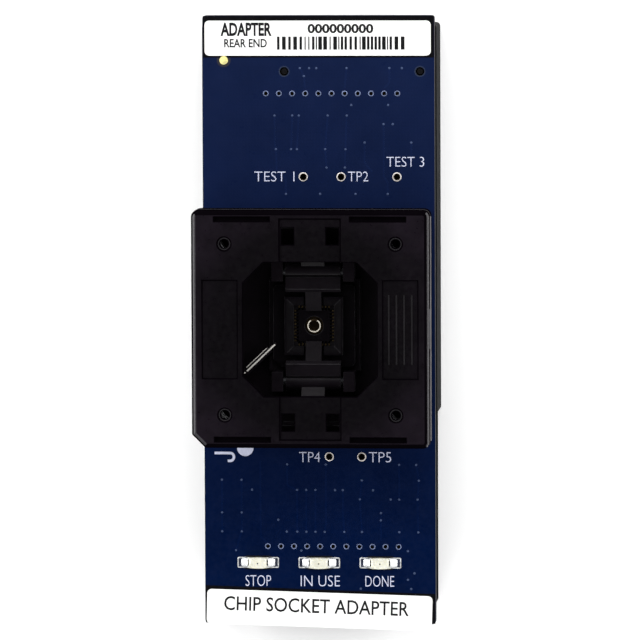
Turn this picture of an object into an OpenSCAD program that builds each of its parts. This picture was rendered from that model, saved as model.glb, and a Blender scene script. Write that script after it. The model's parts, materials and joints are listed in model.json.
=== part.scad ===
// Adapter module that holds one leadless chip on a programming station.
// A narrow circuit board sits on a black plastic carrier and bears an open-top spring socket.
// Pressing the socket cover down swings two latches open; letting it rise clamps the chip.
// Units are millimetres. X is across the board, Y along it, Z up. The origin is on the carrier's
// bottom face, under the middle of the socket.

/* [Board] */
// Width of the circuit board, along X
board_w = 35.3; // [32:0.1:38.5]
// Length of the circuit board, along Y
board_l = 92.8; // [84:0.2:102]
// Thickness of the circuit board
board_t = 1.6; // [1.2:0.1:2.0]

/* [Carrier] */
// Height of the carrier under the board
carrier_h = 9; // [8.5:0.5:10]
// Distance from the board's front end to the carrier's front end
end_inset = 2.2; // [1.8:0.1:2.6]
// Radius of the two guide bores
guide_r = 1.5; // [1.4:0.05:1.6]

/* [Connector rows] */
// Distance from each board end to its row of plated holes
row_inset = 11.85; // [11.5:0.05:12.5]
// Pitch of the holes in each row
pin_pitch = 2; // [1.9:0.05:2]
// Offset of both rows from the board's centre line
row_shift = 2; // [1.5:0.25:2.25]

/* [Socket] */
// Width of the square socket cover
cover_w = 35.7; // [32.5:0.1:39]
// Height of the cover's top above the board
socket_h = 17; // [15.5:0.25:18.5]
// Travel of the cover when it is pressed
stroke = 3; // [2.6:0.1:3]
// Distance of each cover spring from the cover's sides
spring_inset = 5; // [4.8:0.05:5.2]

/* [Chip seat] */
// Width of the square chip that the seat takes
chip_w = 6; // [5.8:0.1:6.2]
// Pitch of the contacts on each side
pad_pitch = 0.5; // [0.46:0.02:0.5]

/* [Lamps and labels] */
// Distance between the status lamps
lamp_pitch = 9.35; // [8.75:0.05:9.5]
// Turn of the front label, in degrees
label_turn = 1.6; // [0:0.1:2.2]
// Thickness of the paper labels
label_t = 0.1; // [0.08:0.01:0.14]

/* [Hidden] */
$fn = 48;
// Levels: the board's top is the level that socket heights start from
board_z = carrier_h;
top_z = carrier_h + board_t;
air = 0.2;
slip = 0.05;
board_r = 0.5;
board_end = board_l / 2;
board_side = board_w / 2;
row_y = board_end - row_inset;
cover_half = cover_w / 2;
base_step = 0.8;
base_w = cover_w - 2 * base_step;
// Colours
c_carrier = "#1b1c1e";
c_board = "#1f2f57";
c_cover = "#151516";
c_base = "#1d1d1f";
c_nest = "#232325";
c_latch = "#202022";
c_steel = "#b9bcc0";
c_gold = "#d8b25a";
c_tin = "#cfd2d4";
c_paper = "#f4f4f0";
c_lens = "#f1e6bf";
c_white = "#ecebe4";
c_strip = "#222326";
c_chip = "#2a2a2c";
c_ceramic = "#b08a5c";

// Carrier
car_over = 0.2;
car_w = board_w + 2 * car_over;
car_l = board_l - 2 * end_inset;
car_r = 0.6;
rear_more = 0.8;
rear_end = car_l / 2 + rear_more;
front_step = 0.5;
front_w = car_w - 2 * front_step;
front_l = car_l / 2;
wall_t = 2.2;
floor_t = 1.8;
pocket_w = car_w - 2 * wall_t;
mid_pocket_l = 29;
step_y = mid_pocket_l / 2;
web_t = 2;
end_pocket_in = mid_pocket_l / 2 + web_t;
end_pocket_out = car_l / 2 - wall_t;
end_pocket_l = end_pocket_out - end_pocket_in;
end_pocket_mid = (end_pocket_out + end_pocket_in) / 2;
boss_r = 3.2;
boss_in_x = 2.3;
boss_in_y = 1.7;
boss_x = car_w / 2 - wall_t - boss_in_x;
boss_y = car_l / 2 - wall_t - boss_in_y;
bosses = [for (x = [-boss_x, boss_x], y = [-boss_y, boss_y]) [x, y, 0]];
nut_r = 2.1;
nut_h = 2.5;
screw_r = 1;
screw_hole_r = 1.2;
head_r = 1.9;
head_bore_r = 2.1;
head_seat = 2;
head_low = 0.3;
hex_r = 0.95;
hex_deep = 0.9;
guide_in_x = 5.25;
guide_in_y = 10.55;
guide_x = car_w / 2 - guide_in_x;
guide_y = row_y - guide_in_y;
guides = [[-guide_x, guide_y, 0], [guide_x, -guide_y, 0]];
guide_wall = 1.7;
guide_roof = 2.5;
guide_boss_r = guide_r + guide_wall;
guide_deep = carrier_h - guide_roof;
peg_r = 0.5;
peg_col_r = 1.5;
peg_sink = 0.25;
peg_inset = 8.5;
peg_left = 5.2;
peg_in_x = 2.2;
peg_y = board_end - peg_inset;
pegs = [[-peg_left, peg_y, 0], [board_side - peg_in_x, peg_y, 0]];
peg_hole_r = 0.65;
panel_w = 20;
panel_l = 8;
panel_deep = 0.4;
panel_in_y = 14.05;
panel_y = row_y - panel_in_y;

// Connector strips under the two rows of plated holes
way_n = 11;
row_l = pin_pitch * (way_n - 1);
strip_over = 1;
strip_l = row_l + 2 * strip_over;
strip_w = 2.2;
strip_low = 0.5;
strip_top = board_z - slip;
slot_wall = 1.6;
way_w = 0.8;
way_deep = 6;
way_mouth = 1.2;
way_mouth_deep = 0.4;
leaf_t = 0.14;
leaf_w = 0.6;
leaf_low = 1.3;
leaf_gap = 0.4;
tail_w = 0.4;
tail_hole = 0.46;
tail_sink = 0.6;
tail_top = top_z - tail_sink;
ways = [for (i = [0 : way_n - 1]) row_shift + (i - (way_n - 1) / 2) * pin_pitch];

// Plated holes and pads on the board
pad_t = 0.04;
barrel_r = 0.36;
barrel_bore = 0.29;
ring_r = 0.44;
tp_r = 0.48;
tp_bore = 0.4;
tp_ring_r = 0.69;
tp_rear_gap = 4.85;
tp_front_gap = 3.75;
tp_rear_y = base_w / 2 + tp_rear_gap;
tp_front_y = -base_w / 2 - tp_front_gap;
test_points = [
  [-2.35, tp_rear_y, 0],
  [3.4, tp_rear_y, 0],
  [11.9, tp_rear_y, 0],
  [1.45, tp_front_y, 0],
  [6.4, tp_front_y, 0]
];
mark_r = 0.65;
mark_in_x = 3.25;
mark_in_y = 6.8;
mark_at = [mark_in_x - board_side, board_end - mark_in_y, 0];
hole_slip = 0.01;

// Labels
rear_label_side = 0.45;
rear_label_w = board_w - 2 * rear_label_side;
rear_label_l = 5.3;
rear_label_in = 3.45;
rear_label_left = 0.1;
rear_label_at = [-rear_label_left, board_end - rear_label_in, 0];
front_label_side = 0.4;
front_label_w = board_w - 2 * front_label_side;
front_label_l = 5.35;
front_label_in = 2.1;
front_label_left = 0.15;
front_label_at = [-front_label_left, front_label_in - board_end, 0];
label_r = 0.7;

// Status lamps
lamp_inset = 9.35;
lamp_left = 0.15;
lamp_y = lamp_inset - board_end;
lamps = [for (i = [-1 : 1]) [i * lamp_pitch - lamp_left, lamp_y, 0]];
lamp_l = 3.2;
lamp_w = 1.6;
lamp_base_h = 0.5;
lamp_lift = 0.06;
lens_l = 3;
lens_top_l = 2.6;
lens_h = 0.7;
solder_l = 1.15;
solder_w = 1.5;
solder_knee = 0.4;
solder_low = 0.08;

// Small parts under the board
chip_in_y = 6.95;
chip_at = [0, row_y - chip_in_y, 0];
so_l = 4.9;
so_w = 3.9;
so_h = 1.4;
so_gap = 0.1;
so_lead_n = 4;
so_lead_pitch = 1.27;
so_lead_w = 0.4;
so_lead_t = 0.2;
so_span = 6;
so_foot = 0.7;
so_leads = [for (i = [0 : so_lead_n - 1]) (i - (so_lead_n - 1) / 2) * so_lead_pitch];
cap_x = 7.2;
cap_in_y = 6.35;
cap_y = row_y - cap_in_y;
caps = [for (x = [-cap_x, cap_x], y = [-cap_y, cap_y]) [x, y, 0]];
res_x = 7;
res_inset = 6.3;
res_y = res_inset - board_end;
resistors = [for (i = [-1 : 1]) [i * res_x, res_y, 0]];
small_l = 1.2;
small_w = 1.25;
small_end = 0.4;
cap_h = 1.1;
res_h = 0.5;

// Socket base: heights from here on are above the board's top
spring_at = cover_half - spring_inset;
base_corner = 0.8;
base_cut = 2;
rail_in = 8.2;
foot_h = 1.6;
plinth_h = 6.8;
tower_half = 6.9;
tower_h = 8.2;
seat_h = 9.2;
pillar_half = 2.3;
channel_half = 2.6;
channel_out = 6.3;
channel_low = 3.1;
pillar_bore = 1.4;
spring_pocket_r = 2.6;
spring_pocket_low = 2.8;
base_screw_x = 11;
base_screw_y = 6.5;
base_screws = [for (x = [-base_screw_x, base_screw_x], y = [-base_screw_y, base_screw_y]) [x, y, 0]];
base_screw_tip = 4.6;
base_screw_hole_r = screw_r + slip;
base_screw_hole_top = 5;
base_head_h = 1.4;
base_head_r = 1.75;
access_r = 2.2;

// Contacts
side_n = 10;
contact_w = 0.22;
contact_d = 0.3;
tail_d = 0.25;
tail_near = 5;
tail_far = 5.9;
tail_stub = 0.3;
tail_below = -board_t - tail_stub;
tail_slot = 0.4;
tail_hole_r = 0.3;
arm_y = 4;
arm_low = 3.2;
arm_t = 0.25;
shelf_low = 5.6;
tip_in = 0.15;
tip_y = chip_w / 2 - tip_in;
tip_h = seat_h + slip;
comb_w = 0.32;
comb_back = 0.5;
comb_front = 0.35;
comb_in = tip_y - comb_back;
comb_out = tip_y + comb_front;
contact_x = [for (i = [0 : side_n - 1]) (i - (side_n - 1) / 2) * pad_pitch];

// Tail guide under the base
guide_plate_w = 15;
guide_plate_low = 0.1;
guide_plate_h = foot_h;
ground_tail_r = 0.4;
ground_hole_r = 0.5;

// Chip nest
nest_half = 6.2;
nest_cut = 1.2;
nest_wall_t = 1.4;
nest_wall_half = chip_w / 2 + nest_wall_t;
nest_deep = 1;
nest_h = seat_h + nest_deep;
nest_straight = 0.4;
nest_lip = seat_h + nest_straight;
nest_play = 0.05;
nest_flare = 1;
nest_notch = 1.5;

// Ground probe in the middle of the seat
probe_r = 1.35;
probe_bore = 1.1;
probe_low = foot_h + guide_plate_low;
probe_floor = 3;
probe_top = 8.6;
plunger_r = 1.05;
plunger_low = 6.5;
plunger_proud = 0.2;
plunger_top = seat_h + plunger_proud;
plunger_cup_r = 0.78;
plunger_cup = 1.6;

// Cover
skirt_h = 6.2;
skirt_low = socket_h - skirt_h;
skirt_t = 1.3;
plate_t = 1.1;
plate_low = socket_h - plate_t;
cover_in = cover_half - skirt_t;
cover_corner = 1;
cover_cut = 2;
cover_in_cut = cover_cut - skirt_t * (2 - sqrt(2));
open_half = 10.1;
open_cut = 3.1;
cup_r = 3.3;
cup_h = 5;
cup_low = socket_h - cup_h;
corner_hole_r = 0.65;
corner_ring_r = 1.05;
corner_ring_deep = 0.3;
band_half = 4.6;
band_deep = 0.4;
band_in = 1.25;
band_out = cover_half - band_in;
window_in = 2.4;
window_out = 4.3;
window_in_y = 2.55;
window_l = 2.6;
window_y1 = cover_half - window_in_y;
window_y0 = window_y1 - window_l;
side_panel_in = 1.65;
side_panel_w = 5.3;
side_panel_x1 = cover_half - side_panel_in;
side_panel_x0 = side_panel_x1 - side_panel_w;
side_panel_half = 7.4;
side_panel_deep = 0.25;
edge_slot_in = 1.3;
edge_slot_end = 3.45;
edge_slot_l = 8.4;
edge_slot_x1 = cover_half - edge_slot_end;
edge_slot_x0 = edge_slot_x1 - edge_slot_l;
edge_slot_y = cover_half - edge_slot_in;
edge_slot_w = 0.7;
edge_slot_deep = 0.5;

// Cover guides and stops on the base
post_gap = 0.3;
post_out = cover_in - post_gap;
post_t = 1.4;
post_half = 6;
hook_h = 0.8;
hook_lift = 1.1;
hook_low = skirt_low + hook_lift;
post_top = hook_low + hook_h;
hook_half = 2.6;
hook_reach = 0.55;
hook_out = cover_in + hook_reach;
stop_gap = 0.1;
stop_side = 0.4;
stop_low = hook_low - stop_gap;
stop_high = post_top + stroke + air;
stop_half = hook_half + stop_side;
screen_half = 8.5;
screen_lap = 0.9;
screen_top = skirt_low + screen_lap;
rib_t = 1;
rib_gap = 0.25;
rib_in = post_out - post_t - air;
rib_lift = 0.4;
rib_low = skirt_low + rib_lift;

// Latches: profiles are drawn in Y and Z for the rear latch
pivot_y = 8.4;
pivot_z = nest_h;
latch_rise = 35;
latch_swing = 55;
latch_fall = latch_swing - latch_rise;
arm_len = stroke / (sin(latch_rise) + sin(latch_fall));
nose_r = 0.75;
nose_y = pivot_y + arm_len * cos(latch_rise);
nose_z = pivot_z + arm_len * sin(latch_rise);
nose_half = 1.75;
arm_half_t = 0.45;
press_gap = 0.15;
press_low = nose_z + nose_r + press_gap;
press_in = 0.73;
press_out = 1.3;
press_y0 = pivot_y + arm_len * cos(latch_fall) - press_in;
press_y1 = nose_y + press_out;
press_half = 3.6;
latch_half = 4.15;
hub_r = 1.3;
shaft_r = 0.75;
hub_bore = shaft_r + slip;
latch_in = 5.2;
latch_up = 1.1;
latch_clear = 0.35;
latch_top = pivot_z + latch_up;
latch_low = seat_h + latch_clear;
finger_half = 1.2;
finger_in = 2.3;
finger_clear = 0.25;
finger_t = 0.65;
finger_low = seat_h + finger_clear;
finger_tip_top = finger_low + finger_t;
finger_heel = 3.6;
groove_y = 7.65;
groove_w = 0.35;
groove_deep = 0.5;
ear_gap = 0.4;
ear_t = 1.7;
ear_wrap = 1.4;
ear_in = latch_half + ear_gap;
ear_out = ear_in + ear_t;
shaft_half = ear_out - slip;
ear_y0 = tower_half - slip;
ear_y1 = pivot_y + ear_wrap;
ear_top = pivot_z + hub_r;
ear_bore = shaft_r + 2 * hole_slip;
lspring_shift = 0.9;
lspring_y = nose_y + lspring_shift;
lspring_pocket_r = 1.6;
lspring_low = 4;
lspring_gap = 0.25;
lspring_top = nose_z - nose_r - lspring_gap;

// Coil springs: outer diameter, wire and turns
steps = 10;
wire_sides = 6;
close_coil = 1.15;
cspring_d = 4.4;
cspring_wire = 0.5;
cspring_turns = 7;
lspring_d = 2.4;
lspring_wire = 0.32;
lspring_turns = 7;
pspring_d = 1.9;
pspring_wire = 0.22;
pspring_turns = 7;

// Pointer that marks contact 1
pointer_from = [-10.5, -7.15];
pointer_to = [-5.75, -2.65];
pointer_dir = pointer_to - pointer_from;
pointer_len = norm(pointer_dir);
pointer_deg = atan2(pointer_dir[1], pointer_dir[0]);
pointer_w = 0.45;
pointer_t = 0.15;
pointer_rib_w = 1;
pointer_over = 1.35;
pointer_rib_l = pointer_len - pointer_over;

// A flat plate with rounded corners
module rounded_plate(w, l, h, r) {
  linear_extrude(h) {
    square([w - 2 * r, l], center = true);
    square([w, l - 2 * r], center = true);
    for (x = [-1, 1], y = [-1, 1]) {
      translate([x * (w / 2 - r), y * (l / 2 - r)]) circle(r);
    }
  }
}

// A rounded square plate with its front left corner cut at 45 degrees
module keyed_plate(w, h, r, cut) {
  difference() {
    rounded_plate(w, w, h, r);
    translate([-w / 2, -w / 2, -air]) {
      rotate([0, 0, 45]) cube([cut * sqrt(2), cut * sqrt(2), 2 * h + 2 * air], center = true);
    }
  }
}

// A block from one corner to the other
module block(a, b) {
  translate(a) cube(b - a);
}

// A prism along X from a profile in Y and Z
module along_x(half) {
  rotate([90, 0, 90]) linear_extrude(2 * half, center = true) children();
}

// A rod along X
module rod_x(y, z, r, half) {
  translate([0, y, z]) rotate([0, 90, 0]) cylinder(h = 2 * half, r = r, center = true);
}

// Height along a coil spring: one close coil at each end and open coils between
function coil_z(t, turns, tight, open) =
  t < 1 ? t * tight : t < turns - 1 ? tight + (t - 1) * open
  : tight + (turns - 2) * open + (t - turns + 1) * tight;

// A coil spring between two levels
module coil(d, wire, low, high, turns) {
  mid_r = (d - wire) / 2;
  wr = wire / 2;
  tight = wire * close_coil;
  open = (high - low - wire - 2 * tight) / (turns - 2);
  n = turns * steps;
  pts = [
    for (i = [0 : n], j = [0 : wire_sides - 1])
      let (a = 360 * i / steps, b = 360 * j / wire_sides, r = mid_r + wr * cos(b))
        [r * cos(a), r * sin(a), low + wr + wr * sin(b) + coil_z(i / steps, turns, tight, open)]
  ];
  sides = [
    for (i = [0 : n - 1], j = [0 : wire_sides - 1])
      let (k = (j + 1) % wire_sides, a = i * wire_sides, b = a + wire_sides)
        [a + j, a + k, b + k, b + j]
  ];
  cap_a = [for (j = [0 : wire_sides - 1]) wire_sides - 1 - j];
  cap_b = [for (j = [0 : wire_sides - 1]) n * wire_sides + j];
  polyhedron(points = pts, faces = concat(sides, [cap_a, cap_b]));
}

// Carrier's outside, narrower from under the socket to the front end
module carrier_outside() {
  translate([0, (rear_end - step_y) / 2, 0]) rounded_plate(car_w, rear_end + step_y, carrier_h, car_r);
  translate([0, -front_l / 2, 0]) rounded_plate(front_w, front_l, carrier_h, car_r);
}

// Carrier: walls, floor, pockets, screw bosses, guide bosses and locating pegs
module carrier_solid() {
  difference() {
    carrier_outside();
    block([-pocket_w / 2, -mid_pocket_l / 2, floor_t], [pocket_w / 2, mid_pocket_l / 2, carrier_h + air]);
    for (end = [-1, 1]) {
      translate([0, end * end_pocket_mid, floor_t]) {
        block([-pocket_w / 2, -end_pocket_l / 2, 0], [pocket_w / 2, end_pocket_l / 2, carrier_h]);
      }
    }
  }
  for (end = [-1, 1]) {
    translate([row_shift, end * row_y, carrier_h / 2]) {
      cube([strip_l + 2 * (air + slot_wall), strip_w + 2 * (air + slot_wall), carrier_h], center = true);
    }
  }
  for (p = bosses) translate(p) cylinder(h = carrier_h, r = boss_r);
  for (p = guides) translate(p) cylinder(h = carrier_h, r = guide_boss_r);
  for (p = pegs) {
    translate(p) cylinder(h = carrier_h, r = peg_col_r);
    translate(p) cylinder(h = top_z - peg_sink, r = peg_r);
  }
}

module carrier_frame() {
  color(c_carrier) difference() {
    carrier_solid();
    for (end = [-1, 1]) {
      translate([row_shift, end * row_y, carrier_h / 2]) {
        cube([strip_l + 2 * air, strip_w + 2 * air, carrier_h + 2 * air], center = true);
      }
    }
    for (p = bosses) translate(p) {
      translate([0, 0, -air]) cylinder(h = carrier_h + 2 * air, r = screw_hole_r);
      translate([0, 0, -air]) cylinder(h = head_seat + air, r = head_bore_r);
      translate([0, 0, carrier_h - nut_h - air]) cylinder(h = nut_h + 2 * air, r = nut_r + air);
    }
    for (p = guides) translate(p) translate([0, 0, -air]) cylinder(h = guide_deep + air, r = guide_r);
    for (p = base_screws) translate(p) translate([0, 0, -air]) cylinder(h = floor_t + 2 * air, r = access_r);
    for (end = [-1, 1]) {
      translate([0, end * panel_y, 0]) cube([panel_w, panel_l, 2 * panel_deep], center = true);
    }
  }
}

// A cylinder-head screw with a hexagon socket, head down
module screw(low, seat, tip, r_head, r_shank) {
  difference() {
    union() {
      translate([0, 0, low]) cylinder(h = seat - low, r = r_head);
      translate([0, 0, low]) cylinder(h = tip - low, r = r_shank);
    }
    translate([0, 0, low - air]) cylinder(h = hex_deep + air, r = hex_r, $fn = 6);
  }
}

module carrier_screws() {
  color(c_steel) for (p = bosses) translate(p) screw(head_low, head_seat, board_z - air, head_r, screw_r);
}

module standoff_nuts() {
  color(c_tin) for (p = bosses) translate(p) translate([0, 0, board_z - nut_h]) difference() {
    cylinder(h = nut_h, r = nut_r);
    translate([0, 0, -air]) cylinder(h = nut_h + 2 * air, r = screw_r + slip);
  }
}

// A through hole in the board
module board_hole(p, r) {
  translate([p[0], p[1], board_z - air]) cylinder(h = board_t + 2 * air, r = r);
}

// Places a child at each contact tail
module at_tails() {
  for (side = [0 : 3]) rotate([0, 0, 90 * side]) for (i = [0 : side_n - 1]) {
    translate([contact_x[i], i % 2 == 0 ? tail_near : tail_far, 0]) children();
  }
}

module main_board() {
  color(c_board) difference() {
    translate([0, 0, board_z]) rounded_plate(board_w, board_l, board_t, board_r);
    for (x = ways, end = [-1, 1]) board_hole([x, end * row_y], barrel_r + hole_slip);
    for (p = test_points) board_hole(p, tp_r + hole_slip);
    for (p = pegs) board_hole(p, peg_hole_r);
    for (p = base_screws) board_hole(p, screw_hole_r);
    board_hole([0, 0], ground_hole_r);
    at_tails() board_hole([0, 0], tail_hole_r);
  }
}

// A plated hole with a ring on the board's top
module eyelet(p, r, bore, ring) {
  translate([p[0], p[1], board_z]) difference() {
    union() {
      cylinder(h = board_t + pad_t, r = r);
      translate([0, 0, board_t]) cylinder(h = pad_t, r = ring);
    }
    translate([0, 0, -air]) cylinder(h = board_t + 2 * air, r = bore);
  }
}

module header_barrels() {
  color(c_tin) for (x = ways, end = [-1, 1]) eyelet([x, end * row_y], barrel_r, barrel_bore, ring_r);
}

module test_point_barrels() {
  color(c_tin) for (p = test_points) eyelet(p, tp_r, tp_bore, tp_ring_r);
}

module fiducial_pad() {
  color(c_gold) translate(mark_at) translate([0, 0, top_z]) cylinder(h = pad_t, r = mark_r);
}

// A connector strip with its mouths facing down
module strip(end) {
  color(c_strip) translate([0, end * row_y, 0]) difference() {
    block(
      [row_shift - strip_l / 2, -strip_w / 2, strip_low],
      [row_shift + strip_l / 2, strip_w / 2, strip_top]
    );
    for (x = ways) translate([x, 0, 0]) {
      block([-way_w / 2, -way_w / 2, strip_low - air], [way_w / 2, way_w / 2, strip_low + way_deep]);
      block(
        [-way_mouth / 2, -way_mouth / 2, strip_low - air],
        [way_mouth / 2, way_mouth / 2, strip_low + way_mouth_deep]
      );
      block([-tail_hole / 2, -tail_hole / 2, strip_low], [tail_hole / 2, tail_hole / 2, strip_top + air]);
    }
  }
}

module strip_rear() {
  strip(1);
}

module strip_front() {
  strip(-1);
}

// Fork contacts in a strip, with tails up in the plated holes
module strip_contacts(end) {
  fork_top = strip_low + way_deep - air;
  color(c_gold) for (x = ways) translate([x, end * row_y, 0]) {
    for (side = [-1, 1]) {
      translate([side * (leaf_gap + leaf_t) / 2, 0, (leaf_low + fork_top) / 2]) {
        cube([leaf_t, leaf_w, fork_top - leaf_low], center = true);
      }
    }
    block(
      [-leaf_gap / 2 - leaf_t, -leaf_w / 2, fork_top - leaf_gap],
      [leaf_gap / 2 + leaf_t, leaf_w / 2, fork_top]
    );
    block([-tail_w / 2, -tail_w / 2, fork_top - leaf_gap], [tail_w / 2, tail_w / 2, tail_top]);
  }
}

module strip_contacts_rear() {
  strip_contacts(1);
}

module strip_contacts_front() {
  strip_contacts(-1);
}

module lamp_bodies() {
  color(c_white) for (p = lamps) translate(p) translate([0, 0, top_z + lamp_lift]) {
    block([-lamp_l / 2, -lamp_w / 2, 0], [lamp_l / 2, lamp_w / 2, lamp_base_h]);
  }
}

module lamp_lenses() {
  color(c_lens) for (p = lamps) translate(p) translate([0, 0, top_z + lamp_lift + lamp_base_h]) {
    rotate([90, 0, 0]) linear_extrude(lamp_w, center = true) polygon([
      [-lens_l / 2, 0],
      [lens_l / 2, 0],
      [lens_top_l / 2, lens_h],
      [-lens_top_l / 2, lens_h]
    ]);
  }
}

module lamp_terminals() {
  color(c_tin) for (p = lamps, side = [-1, 1]) translate(p) translate([side * lamp_l / 2, 0, top_z]) {
    rotate([90, 0, 0]) linear_extrude(solder_w, center = true) polygon([
      [0, 0],
      [side * solder_l, 0],
      [side * solder_l, solder_low],
      [side * solder_knee, lamp_base_h / 2],
      [0, lamp_base_h]
    ]);
  }
}

module rear_label() {
  color(c_paper) translate(rear_label_at) translate([0, 0, top_z]) {
    rounded_plate(rear_label_w, rear_label_l, label_t, label_r);
  }
}

module front_label() {
  color(c_paper) translate(front_label_at) translate([0, 0, top_z]) rotate([0, 0, -label_turn]) {
    rounded_plate(front_label_w, front_label_l, label_t, label_r);
  }
}

module memory_chip() {
  color(c_chip) translate(chip_at) translate([0, 0, board_z - so_gap - so_h]) {
    block([-so_w / 2, -so_l / 2, 0], [so_w / 2, so_l / 2, so_h]);
  }
}

module memory_leads() {
  mid = so_gap + so_h / 2;
  color(c_tin) for (y = so_leads, side = [0, 1]) translate(chip_at) mirror([side, 0, 0]) {
    translate([0, y, board_z]) {
      block(
        [so_w / 2, -so_lead_w / 2, -mid],
        [so_span / 2 - so_foot + so_lead_t, so_lead_w / 2, so_lead_t - mid]
      );
      block(
        [so_span / 2 - so_foot, -so_lead_w / 2, -mid],
        [so_span / 2 - so_foot + so_lead_t, so_lead_w / 2, 0]
      );
      block([so_span / 2 - so_foot, -so_lead_w / 2, -so_lead_t], [so_span / 2, so_lead_w / 2, 0]);
    }
  }
}

// The middle of a small two-ended part under the board
module small_body(p, h) {
  translate([p[0], p[1], board_z - h]) {
    block([-small_l / 2, -small_w / 2, 0], [small_l / 2, small_w / 2, h]);
  }
}

// The two metal ends of a small part under the board
module small_ends(p, h) {
  translate(p) for (side = [-1, 1]) {
    translate([side * (small_l + small_end) / 2, 0, board_z - h / 2]) {
      cube([small_end, small_w, h], center = true);
    }
  }
}

module capacitor_bodies() {
  color(c_ceramic) for (p = caps) small_body(p, cap_h);
}

module capacitor_ends() {
  color(c_tin) for (p = caps) small_ends(p, cap_h);
}

module resistor_bodies() {
  color(c_chip) for (p = resistors) small_body(p, res_h);
}

module resistor_ends() {
  color(c_tin) for (p = resistors) small_ends(p, res_h);
}

module tail_guide() {
  color(c_nest) translate([0, 0, top_z]) difference() {
    block(
      [-guide_plate_w / 2, -guide_plate_w / 2, guide_plate_low],
      [guide_plate_w / 2, guide_plate_w / 2, guide_plate_h]
    );
    cylinder(h = 2 * foot_h, r = ground_hole_r);
    at_tails() cube([tail_slot, tail_slot, 4 * foot_h], center = true);
  }
}

// One side post with its stop hook
module guide_post() {
  block([post_out - post_t, -post_half, plinth_h - air], [post_out, post_half, post_top]);
  block([post_out - post_t, -hook_half, hook_low], [hook_out, hook_half, post_top]);
}

// Low wall behind the skirt at the rear and the front
module screen_wall() {
  block([-screen_half, post_out - post_t, plinth_h - air], [screen_half, post_out, screen_top]);
}

// Ears that carry one latch shaft
module shaft_ears() {
  for (side = [0, 1]) mirror([side, 0, 0]) {
    block([ear_in, ear_y0, plinth_h - air], [ear_out, ear_y1, ear_top]);
  }
}

// Rib under the contact pointer
module pointer_rib() {
  translate([pointer_from[0], pointer_from[1], plinth_h - air]) rotate([0, 0, pointer_deg]) {
    block([0, -pointer_rib_w / 2, 0], [pointer_rib_l, pointer_rib_w / 2, seat_h - plinth_h + air]);
  }
}

module socket_base() {
  color(c_base) translate([0, 0, top_z]) difference() {
    union() {
      intersection() {
        keyed_plate(base_w, plinth_h, base_corner, base_cut);
        union() {
          block([-base_w, -base_w, foot_h], [base_w, base_w, plinth_h]);
          for (side = [0, 1]) mirror([side, 0, 0]) block([rail_in, -base_w, 0], [base_w, base_w, plinth_h]);
        }
      }
      block([-tower_half, -tower_half, plinth_h - air], [tower_half, tower_half, tower_h]);
      for (side = [0, 1]) mirror([side, 0, 0]) guide_post();
      for (side = [0, 1]) mirror([0, side, 0]) {
        shaft_ears();
        screen_wall();
      }
      pointer_rib();
    }
    for (side = [0 : 3]) rotate([0, 0, 90 * side]) {
      block([-channel_half, pillar_half, channel_low], [channel_half, channel_out, tower_h + air]);
    }
    at_tails() cube([tail_slot, tail_slot, 2 * channel_low + air], center = true);
    cylinder(h = tower_h + air, r = pillar_bore);
    for (x = [-1, 1], y = [-1, 1]) translate([x * spring_at, y * spring_at, spring_pocket_low]) {
      cylinder(h = plinth_h, r = spring_pocket_r);
    }
    for (end = [-1, 1]) {
      translate([0, end * lspring_y, lspring_low]) cylinder(h = plinth_h, r = lspring_pocket_r);
      rod_x(end * pivot_y, pivot_z, ear_bore, ear_out + air);
    }
    for (p = base_screws) translate(p) translate([0, 0, -air]) {
      cylinder(h = base_screw_hole_top + air, r = base_screw_hole_r);
    }
  }
}

module base_fixings() {
  color(c_steel) translate([0, 0, top_z]) for (p = base_screws) translate(p) {
    screw(-board_t - base_head_h, -board_t, base_screw_tip, base_head_r, screw_r);
  }
}

// One spring contact: tail, foot, riser, shelf and tip
module contact(x, tail_y) {
  half = contact_w / 2;
  translate([x, 0, 0]) {
    block([-half, tail_y - tail_d / 2, tail_below], [half, tail_y + tail_d / 2, arm_low + arm_t]);
    block([-half, arm_y - arm_t / 2, arm_low], [half, tail_y, arm_low + arm_t]);
    block([-half, arm_y - arm_t / 2, arm_low], [half, arm_y + arm_t / 2, shelf_low + arm_t]);
    block([-half, tip_y - contact_d / 2, shelf_low], [half, arm_y, shelf_low + arm_t]);
    block([-half, tip_y - contact_d / 2, shelf_low], [half, tip_y + contact_d / 2, tip_h]);
  }
}

module contact_pins() {
  color(c_gold) translate([0, 0, top_z]) for (side = [0 : 3]) rotate([0, 0, 90 * side]) {
    for (i = [0 : side_n - 1]) contact(contact_x[i], i % 2 == 0 ? tail_near : tail_far);
  }
}

// The flared mouth of the nest, as two crossed prisms
module nest_mouth() {
  low = chip_w / 2 + nest_play;
  high = low + nest_flare * (nest_h + air - nest_lip) / (nest_h - nest_lip);
  intersection_for(turn = [0, 90]) rotate([0, 0, turn]) along_x(nest_half) polygon([
    [-low, seat_h],
    [low, seat_h],
    [low, nest_lip],
    [high, nest_h + air],
    [-high, nest_h + air],
    [-low, nest_lip]
  ]);
}

module nest_plate() {
  color(c_nest) translate([0, 0, top_z]) difference() {
    union() {
      translate([0, 0, tower_h]) keyed_plate(2 * nest_half, seat_h - tower_h, base_corner, nest_cut);
      block([-nest_wall_half, -nest_wall_half, tower_h], [nest_wall_half, nest_wall_half, nest_h]);
    }
    nest_mouth();
    block([-nest_notch, -nest_half, seat_h], [nest_notch, nest_half, nest_h + air]);
    cylinder(h = 2 * nest_h, r = probe_r + slip);
    for (side = [0 : 3]) rotate([0, 0, 90 * side]) for (x = contact_x) {
      block([x - comb_w / 2, comb_in, tower_h - air], [x + comb_w / 2, comb_out, seat_h + air]);
    }
  }
}

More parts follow.
